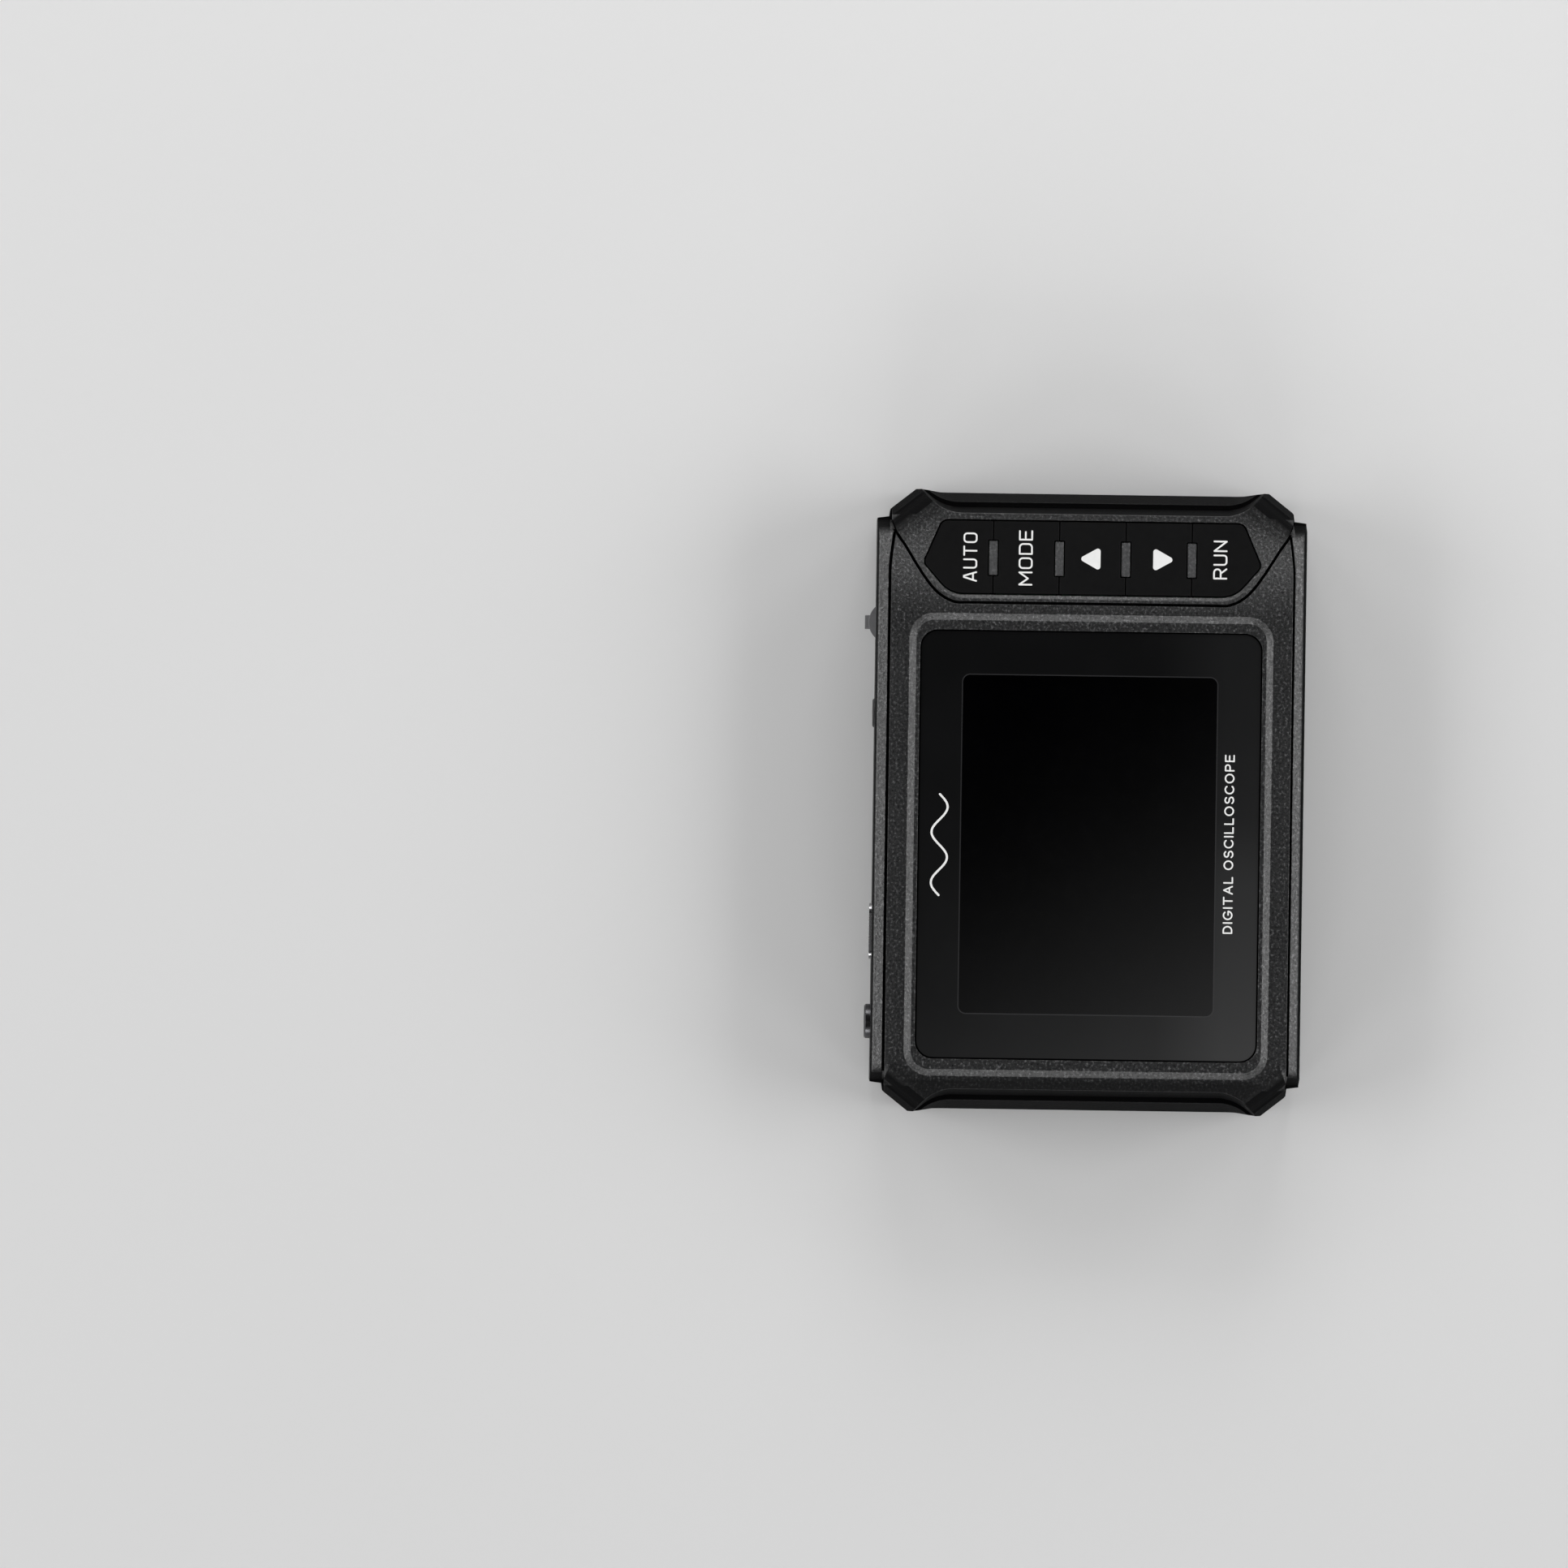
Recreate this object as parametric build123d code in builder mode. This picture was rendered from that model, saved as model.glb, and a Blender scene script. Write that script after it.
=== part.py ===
from build123d import *
import os
import math

os.makedirs("parts", exist_ok=True)

# ---------------------------------------------------------------------------
# Pocket oscilloscope, lying on its back.
# Frame: origin at the centre of the flat back, +X towards the key strip,
# +Y towards the edge with the sockets, +Z out of the screen. Millimetres.
# ---------------------------------------------------------------------------

# overall
LENGTH = 99.0            # over the corner horns
WIDTH = 68.3             # over the two side rails
THICK = 19.5             # back to top of the screen rim
HL = LENGTH / 2
HW = WIDTH / 2

# heights
Z_SPLIT = 9.75           # parting plane of the two covers
Z_FACE = 18.7            # front face
Z_ROOF = 16.9            # inside of the front face
Z_LEDGE = 14.4           # step in the end scoops
WALL = 1.8

# end scoops (distance of each edge from the centre plane)
END_TOP = 45.65          # edge of the front face
END_STEP = 46.75         # foot of the upper wall, where the ledge starts
END_STEP2 = 47.55        # outer edge of the ledge
END_LOW = 49.15          # lower wall at the parting plane

# side rails
RAIL_Y = 32.08           # centre of the groove between face and rail
GROOVE = 0.42            # groove width
FACE_Y = RAIL_Y - GROOVE / 2
RAIL_END = 44.9

# screen
LENS_X0, LENS_X1, LENS_HY = -40.8, 27.0, 27.0
LENS_R = 2.7
LENS_GAP = 0.16
LENS_T = 1.5
Z_LENS = 19.25
RIM_X0, RIM_X1, RIM_HY = -43.7, 29.8, 28.9
RIM_R = 4.0
RIM_SLOPE = 1.1
WIN_X0, WIN_X1, WIN_HY = -33.8, 20.2, 20.2

# keys
KEY_EDGE = [(32.8, 22.6), (37.75, 27.0), (44.7, 24.0)]   # +Y half of the recess
KEY_FIT = 0.2            # gap between keys and recess
KEY_SLIT = 0.16          # gap between neighbouring keys
KEY_TOP = 18.55
KEY_BOTTOM = 16.95
KEY_TRAVEL = 0.35
KEY_CX = 38.8
BAR_Y = [-15.76, -5.27, 5.27, 15.76]
BAR_CX, BAR_L, BAR_W = 38.6, 5.4, 1.32
KEY_Y = [20.9, 10.5, 0.0, -10.5, -20.9]
KEY_NAMES = ["auto", "mode", "up", "down", "run"]

# board
PCB_Z0, PCB_Z1 = 11.0, 12.6
PCB_HX0, PCB_HX1, PCB_HY = -43.3, 43.4, 30.9

# case screws and board screws
BOSS_X, BOSS_Y = 42.0, 28.0
BOSS_R = 2.7
SCREW_R = 1.0
SCREW_HEAD_R, SCREW_HEAD_H = 1.9, 1.3
WELL_R, WELL_DEPTH = 2.25, 3.0
BSCREW = [(-29.2, 28.3), (19.8, 28.3), (-29.2, -28.3), (19.8, -28.3)]
BSCREW_R, BSCREW_HEAD_R = 0.9, 1.7

# sockets in the +Y edge
MCX_X, MCX_Z = -35.4, 9.4
MCX_R = 2.75
MCX_BORE_R = 1.92
MCX_BORE_L = 2.2
MCX_FACE = 35.15
USB_X, USB_Z = -21.0, 9.37
USB_W, USB_H = 8.94, 3.26
USB_FACE = 34.55
CAL_X, CAL_Z = 13.8, 9.4
CAL_R = 2.3
CAL_FACE = 34.5
SW_X, SW_Z = 29.3, 9.35
SW_TRAVEL = 2.0


def mirrored(pts):
    """Closed outline from the points of the +X +Y quarter, listed from +X round to +Y."""
    q1 = list(pts)
    q2 = [(-x, y) for x, y in reversed(pts)]
    q3 = [(-x, -y) for x, y in pts]
    q4 = [(x, -y) for x, y in reversed(pts)]
    return q1 + q2 + q3 + q4


CORNER_A = (46.35, 32.1)     # where the cut corner starts, beside the rail's end
CORNER_B = (HL, 28.1)        # horn tip
BODY = mirrored([(END_LOW, 24.2), (HL, 27.3), CORNER_B, CORNER_A, (45.15, 32.25), (RAIL_END, HW)])
CHAMFER_N = (0.7856, 0.6187)  # outward direction of the corner chamfer

# outline of the recess for the keys, sharp corners
KEYPAD = KEY_EDGE + [(x, -y) for x, y in reversed(KEY_EDGE)]


def inset(points, d):
    """Offset a convex, clockwise outline inwards by d and give its corners."""
    n = len(points)
    lines = []
    for i in range(n):
        (x0, y0), (x1, y1) = points[i], points[(i + 1) % n]
        L = math.hypot(x1 - x0, y1 - y0)
        nx, ny = (y1 - y0) / L, -(x1 - x0) / L      # right-hand side of travel
        lines.append((x0 + nx * d, y0 + ny * d, (x1 - x0) / L, (y1 - y0) / L))
    out = []
    for i in range(n):
        ax, ay, adx, ady = lines[i - 1]
        bx, by, bdx, bdy = lines[i]
        det = adx * bdy - ady * bdx
        t = ((bx - ax) * bdy - (by - ay) * bdx) / det
        out.append((ax + adx * t, ay + ady * t))
    return out


# the scoop's edge on the front face, for the +X end, from the middle outwards
SCOOP = [(END_TOP, 20.85), (END_TOP + 0.16, 22.25), (END_TOP + 0.55, 23.45),
         (END_TOP + 1.3, 24.8), (END_TOP + 2.35, 26.15), (END_TOP + 3.45, 27.45),
         (END_TOP + 4.6, 28.85)]


# cutters for the scoops in the two ends: a steep upper wall down to a ledge, then a drafted lower wall
scoops = []
for s in (1, -1):
    for levels in (((Z_FACE + 0.6, -0.15), (Z_LEDGE, END_STEP - END_TOP)),
                   ((Z_LEDGE + 0.35, END_STEP2 - END_TOP - 0.1), (Z_SPLIT - 0.1, END_LOW - END_TOP))):
        with BuildPart() as scoop:
            for z, dx in levels:
                a = [(s * (x + dx), y + dx * 0.35) for x, y in SCOOP]
                b = [(x, -y) for x, y in a]
                with BuildSketch(Plane.XY.offset(z)):
                    with BuildLine():
                        Line(b[0], a[0])
                        Spline(*a, tangents=((0, 1), (s * 1.15, 1.45)))
                        Polyline(a[-1], (s * 60, a[-1][1]), (s * 60, b[-1][1]), b[-1])
                        Spline(*b[::-1], tangents=((-s * 1.15, 1.45), (0, 1)))
                    make_face()
            loft(ruled=True)
        scoops.append(scoop.part)

# cutter for the sloped lead-in on the screen side of the key recess
with BuildPart() as lead_in:
    with BuildSketch(Plane.XY.offset(Z_FACE - 0.42)):
        with BuildLine():
            Spline((37.7, -26.55), (34.1, -23.55), (32.84, -20.2), tangents=((-1, 0.85), (0, 1)))
            Line((32.84, -20.2), (32.84, 20.2))
            Spline((32.84, 20.2), (34.1, 23.55), (37.7, 26.55), tangents=((0, 1), (1, 0.85)))
            Line((37.7, 26.55), (37.7, -26.55))
        make_face()
    with BuildSketch(Plane.XY.offset(Z_FACE + 0.05)):
        with BuildLine():
            Spline((37.7, -27.35), (33.55, -23.95), (32.12, -20.3), tangents=((-1, 0.85), (0, 1)))
            Line((32.12, -20.3), (32.12, 20.3))
            Spline((32.12, 20.3), (33.55, 23.95), (37.7, 27.35), tangents=((0, 1), (1, 0.85)))
            Line((37.7, 27.35), (37.7, -27.35))
        make_face()
    loft(ruled=True)

# ---------------------------------------------------------------------------
# front cover
# ---------------------------------------------------------------------------
with BuildPart() as front_cover:
    # skirt with the rails
    with BuildSketch(Plane.XY.offset(Z_SPLIT)):
        Polygon(*BODY, align=None)
    extrude(amount=17.9 - Z_SPLIT)
    # sloped tops of the rails, with a rounded outer edge
    with BuildSketch(Plane.YZ.offset(-60)):
        for s in (1, -1):
            with BuildLine():
                Line((s * 30.9, 17.95), (s * 33.45, 16.75))
                ThreePointArc((s * 33.45, 16.75), (s * 33.98, 16.38), (s * HW, 15.75))
                Polyline((s * HW, 15.75), (s * 40, 15.75), (s * 40, 22), (s * 30.9, 22), (s * 30.9, 17.95))
            make_face()
    extrude(amount=120, mode=Mode.SUBTRACT)
    # rail ends fall away towards the corners
    with BuildSketch(Plane.XZ.offset(-40)):
        for s in (1, -1):
            with BuildLine():
                ThreePointArc((s * 41.1, 18.1), (s * 42.5, 17.4), (s * 43.5, 15.9))
                Polyline((s * 43.5, 15.9), (s * 44.6, 13.2), (s * 56, 13.2), (s * 56, 24), (s * 41.1, 24), (s * 41.1, 18.1))
            make_face()
    extrude(amount=80, mode=Mode.SUBTRACT)
    # front face and the horns at the corners; at the key end its edge curves in and the rail widens
    with BuildSketch(Plane.XY.offset(Z_SPLIT)):
        Polygon(*BODY, align=None)
        Rectangle(120, 2 * FACE_Y, mode=Mode.INTERSECT)
        for s in (1, -1):
            with BuildLine():
                Spline((36.2, s * FACE_Y), (38.2, s * (FACE_Y - 0.1)), (40.4, s * (FACE_Y - 0.36)), (42.5, s * 31.2))
                Polyline((42.5, s * 31.2), (45.4, s * 32.45), (45.4, s * 34), (36.2, s * 34), (36.2, s * FACE_Y))
            make_face(mode=Mode.SUBTRACT)
    extrude(amount=Z_FACE - Z_SPLIT)
    # groove between the face and each rail
    with BuildSketch(Plane.XY.offset(16.75)):
        with Locations((-4.6, RAIL_Y), (-4.6, -RAIL_Y)):
            Rectangle(83.6, GROOVE)
        for s in (1, -1):
            with BuildLine():
                Spline((36.2, s * RAIL_Y), (38.2, s * (RAIL_Y - 0.1)), (40.4, s * (RAIL_Y - 0.36)), (42.6, s * 31.42))
            trace(line_width=GROOVE)
    extrude(amount=3, mode=Mode.SUBTRACT)
    # groove round the key panel, open into the rail grooves
    with BuildSketch(Plane.XY.offset(Z_FACE - 0.8)):
        with BuildLine():
            Spline((31.5, -19.5), (31.53, -21.6), (32.1, -23.15), (33.2, -24.7), (34.8, -26.1), (36.8, -27.5), (38.8, -28.75), (40.8, -30.0), (42.5, -31.2), tangents=((0, -1), (1.7, -1.1)))
            Line((31.5, -19.5), (31.5, 19.5))
            Spline((31.5, 19.5), (31.53, 21.6), (32.1, 23.15), (33.2, 24.7), (34.8, 26.1), (36.8, 27.5), (38.8, 28.75), (40.8, 30.0), (42.5, 31.2), tangents=((0, 1), (1.7, 1.1)))
        trace(line_width=0.46)
    extrude(amount=3, mode=Mode.SUBTRACT)
    with BuildSketch(Plane.XY.offset(16.9)):
        for s in (1, -1):
            with BuildLine():
                Line((42.35, s * 31.15), (45.4, s * 32.45))
            trace(line_width=0.45)
    extrude(amount=4, mode=Mode.SUBTRACT)
    # the four corners fall away to a narrow bevel
    for sx, sy in ((1, 1), (1, -1), (-1, 1), (-1, -1)):
        nx, ny = sx * CHAMFER_N[0], sy * CHAMFER_N[1]
        with BuildSketch(Plane(origin=(nx * 50, ny * 50, 0), x_dir=(nx, ny, 0), z_dir=(ny, -nx, 0))) as fall:
            with BuildLine():
                ThreePointArc((1.7, Z_FACE), (3.2, Z_FACE - 0.31), (4.1, Z_FACE - 0.95))
                Polyline((4.1, Z_FACE - 0.95), (4.9, Z_FACE - 2.05), (5.25, Z_FACE - 2.2), (6.27, Z_FACE - 4.5), (12, Z_FACE - 4.5), (12, 24), (1.7, 24), (1.7, Z_FACE))
            make_face()
        extrude(amount=20, both=True, mode=Mode.SUBTRACT)
    # scoops in the two ends
    for cutter in scoops:
        add(cutter, mode=Mode.SUBTRACT)
    # raised rim round the screen, sloping up from the face
    with BuildSketch(Plane.XY.offset(Z_FACE - 0.02)):
        with Locations(((RIM_X0 + RIM_X1) / 2, 0)):
            RectangleRounded(RIM_X1 - RIM_X0, 2 * RIM_HY, RIM_R)
    extrude(amount=THICK - Z_FACE + 0.02, taper=math.degrees(math.atan(RIM_SLOPE / (THICK - Z_FACE))))
    # pocket for the screen lens and the opening behind it
    with BuildSketch(Plane.XY.offset(Z_LENS - LENS_T - 0.1)):
        with Locations(((LENS_X0 + LENS_X1) / 2, 0)):
            RectangleRounded(LENS_X1 - LENS_X0 + 2 * LENS_GAP, 2 * (LENS_HY + LENS_GAP), LENS_R + LENS_GAP)
    extrude(amount=4, mode=Mode.SUBTRACT)
    with BuildSketch(Plane.XY.offset(Z_SPLIT)):
        with Locations(((WIN_X0 + WIN_X1) / 2, 0)):
            RectangleRounded(WIN_X1 - WIN_X0 + 4.0, 2 * WIN_HY + 4.0, 1.5)
    extrude(amount=THICK - Z_SPLIT, mode=Mode.SUBTRACT)
    # inside: a stepped cavity that keeps clear of the corners
    with BuildSketch(Plane.XY.offset(Z_SPLIT)):
        Rectangle(2 * 45.2, 2 * 32.1)
        Polygon(*mirrored([(45.2, 25.2), (38.3, 32.1)]), align=None, mode=Mode.INTERSECT)
    extrude(amount=13.0 - Z_SPLIT, mode=Mode.SUBTRACT)
    with BuildSketch(Plane.XY.offset(13.0)):
        Rectangle(2 * 44.2, 2 * 31.2)
        Polygon(*mirrored([(44.2, 24.6), (37.6, 31.2)]), align=None, mode=Mode.INTERSECT)
    extrude(amount=15.4 - 13.0, mode=Mode.SUBTRACT)
    with BuildSketch(Plane.XY.offset(15.4)):
        Rectangle(2 * 44.0, 2 * 30.6)
        Polygon(*mirrored([(44.0, 24.0), (37.4, 30.6)]), align=None, mode=Mode.INTERSECT)
    extrude(amount=Z_ROOF - 15.4, mode=Mode.SUBTRACT)
    # recess for the keys, straight through the face, with a sloped lead-in on its screen side
    with BuildSketch(Plane.XY.offset(Z_SPLIT)) as recess_sketch:
        Polygon(*KEYPAD, align=None)
        vs = recess_sketch.vertices()
        fillet(vs.filter_by(lambda v: v.X < 33), 4.6)
        fillet(recess_sketch.vertices().filter_by(lambda v: 37 < v.X < 38.5 and abs(v.Y) > 26), 1.3)
        fillet(recess_sketch.vertices().filter_by(lambda v: v.X > 44 and abs(v.Y) > 23), 1.6)
    extrude(amount=10, mode=Mode.SUBTRACT)
    add(lead_in.part, mode=Mode.SUBTRACT)
    # screw bosses hang from the roof into the corners
    with BuildSketch(Plane.XY.offset(Z_SPLIT)):
        with GridLocations(2 * BOSS_X, 2 * BOSS_Y, 2, 2):
            Circle(BOSS_R)
    extrude(amount=Z_ROOF - Z_SPLIT - 0.6)
    with BuildSketch(Plane.XY.offset(Z_SPLIT)):
        with GridLocations(2 * BOSS_X, 2 * BOSS_Y, 2, 2):
            Circle(SCREW_R)
    extrude(amount=5.4, mode=Mode.SUBTRACT)
    # posts that carry the board
    with BuildSketch(Plane.XY.offset(PCB_Z1)):
        with Locations(*BSCREW):
            Circle(2.1)
    extrude(amount=Z_ROOF - PCB_Z1)
    with BuildSketch(Plane.XY.offset(PCB_Z1)):
        with Locations(*BSCREW):
            Circle(BSCREW_R)
    extrude(amount=3.2, mode=Mode.SUBTRACT)
    # ribs between the keys, each with a bar that shows through the key strip
    with BuildSketch(Plane.XY.offset(15.3)):
        with Locations(*[(38.5, y) for y in BAR_Y]):
            Rectangle(13.8, 1.0)
    extrude(amount=1.0)
    with BuildSketch(Plane.XY.offset(15.3)):
        with Locations(*[(x, y) for y in BAR_Y for x in (32.05, 45.0)]):
            Rectangle(0.8, 1.0)
    extrude(amount=Z_ROOF + 0.3 - 15.3)
    with BuildSketch(Plane.XY.offset(16.2)):
        with Locations(*[(BAR_CX, y) for y in BAR_Y]):
            RectangleRounded(BAR_L, BAR_W, 0.12)
    extrude(amount=18.6 - 16.2)
    # openings in the +Y wall
    with BuildSketch(Plane.XZ.offset(-28)):
        with Locations((MCX_X, MCX_Z)):
            Circle(MCX_R + 0.15)
        with Locations((USB_X, USB_Z)):
            RectangleRounded(USB_W + 0.3, USB_H + 0.3, USB_H / 2 + 0.14)
        with Locations((CAL_X, CAL_Z)):
            Circle(CAL_R + 0.12)
        with Locations((SW_X, SW_Z)):
            RectangleRounded(5.1 + SW_TRAVEL, 2.3, 0.4)
    extrude(amount=-8, mode=Mode.SUBTRACT)
front_cover.part.label = "front_cover"
export_step(front_cover.part, "parts/front_cover.step")

# ---------------------------------------------------------------------------
# rear cover: tray with a flat back, battery bay, screw columns and wells
# ---------------------------------------------------------------------------
with BuildPart() as rear_cover:
    with BuildSketch(Plane.XY):
        Polygon(*BODY, align=None)
    extrude(amount=Z_SPLIT)
    # edge of the back
    chamfer(rear_cover.faces().sort_by(Axis.Z)[0].outer_wire().edges(), 1.3)
    # inside
    with BuildSketch(Plane.XY.offset(WALL)):
        Rectangle(2 * 46.4, 2 * 32.1)
        Polygon(*mirrored([(46.4, 26.0), (39.2, 32.1)]), align=None, mode=Mode.INTERSECT)
    extrude(amount=Z_SPLIT, mode=Mode.SUBTRACT)
    # battery bay ribs
    with BuildSketch(Plane.XY.offset(WALL)):
        with Locations((-6, -2)):
            Rectangle(54.4, 38.4)
            Rectangle(52.0, 36.0, mode=Mode.SUBTRACT)
            Rectangle(30, 60, mode=Mode.SUBTRACT)
    extrude(amount=3.4)
    # screw columns
    with BuildSketch(Plane.XY.offset(WALL - 0.2)):
        with GridLocations(2 * BOSS_X, 2 * BOSS_Y, 2, 2):
            Circle(3.3)
    extrude(amount=Z_SPLIT - WALL + 0.2)
    with Locations(*[Location((sx * BOSS_X, sy * BOSS_Y, 0), (180, 0, 0)) for sx in (-1, 1) for sy in (-1, 1)]):
        CounterBoreHole(radius=SCREW_R + 0.1, counter_bore_radius=WELL_R, counter_bore_depth=WELL_DEPTH, depth=Z_SPLIT + 1)
    # shallow recess for the label
    with BuildSketch(Plane.XY):
        with Locations((0, 0)):
            RectangleRounded(58, 34, 2.0)
    extrude(amount=0.25, mode=Mode.SUBTRACT)
    # openings in the +Y wall
    with BuildSketch(Plane.XZ.offset(-28)):
        with Locations((MCX_X, MCX_Z)):
            Circle(MCX_R + 0.15)
        with Locations((USB_X, USB_Z)):
            RectangleRounded(USB_W + 0.3, USB_H + 0.3, USB_H / 2 + 0.14)
        with Locations((CAL_X, CAL_Z)):
            Circle(CAL_R + 0.12)
        with Locations((SW_X, SW_Z)):
            RectangleRounded(5.1 + SW_TRAVEL, 2.3, 0.4)
    extrude(amount=-8, mode=Mode.SUBTRACT)
rear_cover.part.label = "rear_cover"
export_step(rear_cover.part, "parts/rear_cover.step")

# ---------------------------------------------------------------------------
# screen
# ---------------------------------------------------------------------------
LENS_CX = (LENS_X0 + LENS_X1) / 2
WIN_CX = (WIN_X0 + WIN_X1) / 2
with BuildPart() as screen_lens:
    with BuildSketch(Plane.XY.offset(Z_LENS - LENS_T)):
        with Locations((LENS_CX, 0)):
            RectangleRounded(LENS_X1 - LENS_X0, 2 * LENS_HY, LENS_R)
    extrude(amount=LENS_T)
    fillet(screen_lens.faces().sort_by(Axis.Z)[-1].edges(), 0.12)
screen_lens.part.label = "screen_lens"
export_step(screen_lens.part, "parts/screen_lens.step")

with BuildPart() as lens_tape:
    with BuildSketch(Plane.XY.offset(Z_LENS - LENS_T - 0.1)):
        with Locations((LENS_CX, 0)):
            RectangleRounded(LENS_X1 - LENS_X0 - 0.6, 2 * LENS_HY - 0.6, LENS_R - 0.3)
        with Locations((WIN_CX, 0)):
            RectangleRounded(WIN_X1 - WIN_X0 + 4.6, 2 * WIN_HY + 4.6, 1.8, mode=Mode.SUBTRACT)
    extrude(amount=0.1)
lens_tape.part.label = "lens_tape"
export_step(lens_tape.part, "parts/lens_tape.step")

with BuildPart() as lcd_gasket:
    with BuildSketch(Plane.XY.offset(Z_ROOF - 0.5)):
        with Locations((WIN_CX, 0)):
            Rectangle(WIN_X1 - WIN_X0 + 6.6, 2 * WIN_HY + 6.0)
            Rectangle(WIN_X1 - WIN_X0 + 4.4, 2 * WIN_HY + 4.4, mode=Mode.SUBTRACT)
    extrude(amount=0.5)
lcd_gasket.part.label = "lcd_gasket"
export_step(lcd_gasket.part, "parts/lcd_gasket.step")

with BuildPart() as lcd_glass:
    with BuildSketch(Plane.XY.offset(15.2)):
        with Locations((WIN_CX - 0.6, 0)):
            Rectangle(62.4, 47.0)
    extrude(amount=1.2)
lcd_glass.part.label = "lcd_glass"
export_step(lcd_glass.part, "parts/lcd_glass.step")

with BuildPart() as lcd_backlight:
    with BuildSketch(Plane.XY.offset(13.6)):
        with Locations((WIN_CX - 0.6, 0)):
            RectangleRounded(64.0, 48.4, 0.6)
    extrude(amount=1.6)
    with BuildSketch(Plane.XY.offset(15.2)):
        with Locations((WIN_CX - 0.6, 0)):
            RectangleRounded(64.0, 48.4, 0.6)
            Rectangle(62.6, 47.2, mode=Mode.SUBTRACT)
    extrude(amount=0.8)
lcd_backlight.part.label = "lcd_backlight"
export_step(lcd_backlight.part, "parts/lcd_backlight.step")

with BuildPart() as lcd_pads:
    with BuildSketch(Plane.XY.offset(PCB_Z1)):
        with Locations((WIN_CX - 0.6 - 24, 15), (WIN_CX - 0.6 + 24, 15), (WIN_CX - 0.6 - 24, -15), (WIN_CX - 0.6 + 24, -15)):
            Rectangle(8, 8)
    extrude(amount=1.0)
lcd_pads.part.label = "lcd_pads"
export_step(lcd_pads.part, "parts/lcd_pads.step")

# flat cable: from the display's -X end down to its socket on the board
with BuildPart() as lcd_flex:
    with BuildSketch(Plane.XZ.offset(9)):
        with BuildLine():
            Polyline((-40.0, 15.0), (-42.6, 15.0), (-42.6, 13.05), (-37.0, 13.05), (-37.0, 13.3), (-42.35, 13.3), (-42.35, 14.75), (-40.0, 14.75), (-40.0, 15.0))
        make_face()
    extrude(amount=-18)
lcd_flex.part.label = "lcd_flex"
export_step(lcd_flex.part, "parts/lcd_flex.step")

# ---------------------------------------------------------------------------
# board and what is on it
# ---------------------------------------------------------------------------
with BuildPart() as main_board:
    with BuildSketch(Plane.XY.offset(PCB_Z0)):
        with Locations(((PCB_HX0 + PCB_HX1) / 2, 0)):
            Rectangle(PCB_HX1 - PCB_HX0, 2 * PCB_HY)
        with GridLocations(2 * 43.4, 2 * 30.9, 2, 2):
            Rectangle(10.0, 12.4, mode=Mode.SUBTRACT)
        with Locations((MCX_X, 30.9)):
            Rectangle(6.6, 6.4, mode=Mode.SUBTRACT)
        with Locations((CAL_X, 30.9)):
            Rectangle(5.2, 4.4, mode=Mode.SUBTRACT)
        with Locations(*BSCREW):
            Circle(BSCREW_R + 0.1, mode=Mode.SUBTRACT)
    extrude(amount=PCB_Z1 - PCB_Z0)
main_board.part.label = "main_board"
export_step(main_board.part, "parts/main_board.step")

with BuildPart() as lcd_socket:
    with BuildSketch(Plane.XY.offset(PCB_Z1)):
        with Locations((-36.2, 0)):
            Rectangle(3.6, 22)
    extrude(amount=0.9)
    with BuildSketch(Plane.XY.offset(13.02)):
        with Locations((-37.6, 0)):
            Rectangle(1.6, 18.2)
    extrude(amount=0.32, mode=Mode.SUBTRACT)
lcd_socket.part.label = "lcd_socket"
export_step(lcd_socket.part, "parts/lcd_socket.step")


def chips(name, height, items):
    """Flat packages soldered to the underside of the board."""
    with BuildPart() as group:
        for x, y, w, d in items:
            with BuildSketch(Plane.XY.offset(PCB_Z0 - height)):
                with Locations((x, y)):
                    Rectangle(w, d)
            extrude(amount=height)
    group.part.label = name
    export_step(group.part, "parts/%s.step" % name)
    return group


chips("mcu_chip", 1.4, [(6, 4, 10, 10)])
chips("analog_chips", 1.2, [(-27, 17, 5, 4), (-35, 14, 4, 3), (-16, 14, 5, 4), (-27, 8, 5, 4)])
chips("charger_chip", 1.0, [(-12, 23, 3, 3)])
chips("passives", 0.6, [(-31, 11, 1.6, 0.8), (-23, 12, 1.6, 0.8), (-20, 8, 1.6, 0.8), (-5, 10, 1.6, 0.8), (-5, 7, 1.6, 0.8), (14, 12, 0.8, 1.6),
                        (16, 12, 0.8, 1.6), (18, 3, 1.6, 0.8), (18, 0, 1.6, 0.8), (-8, 23, 0.8, 1.6), (-16, 23, 0.8, 1.6), (30, 16, 1.6, 0.8)])

with BuildPart() as crystal_can:
    with BuildSketch(Plane.XY.offset(PCB_Z0 - 1.1)):
        with Locations((15, 7)):
            RectangleRounded(5.0, 3.2, 0.6)
    extrude(amount=1.1)
crystal_can.part.label = "crystal_can"
export_step(crystal_can.part, "parts/crystal_can.step")

with BuildPart() as power_inductor:
    with BuildSketch(Plane.XY.offset(PCB_Z0 - 2.4)):
        with Locations((0, 23)):
            RectangleRounded(5.0, 5.0, 1.0)
    extrude(amount=2.4)
power_inductor.part.label = "power_inductor"
export_step(power_inductor.part, "parts/power_inductor.step")

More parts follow.
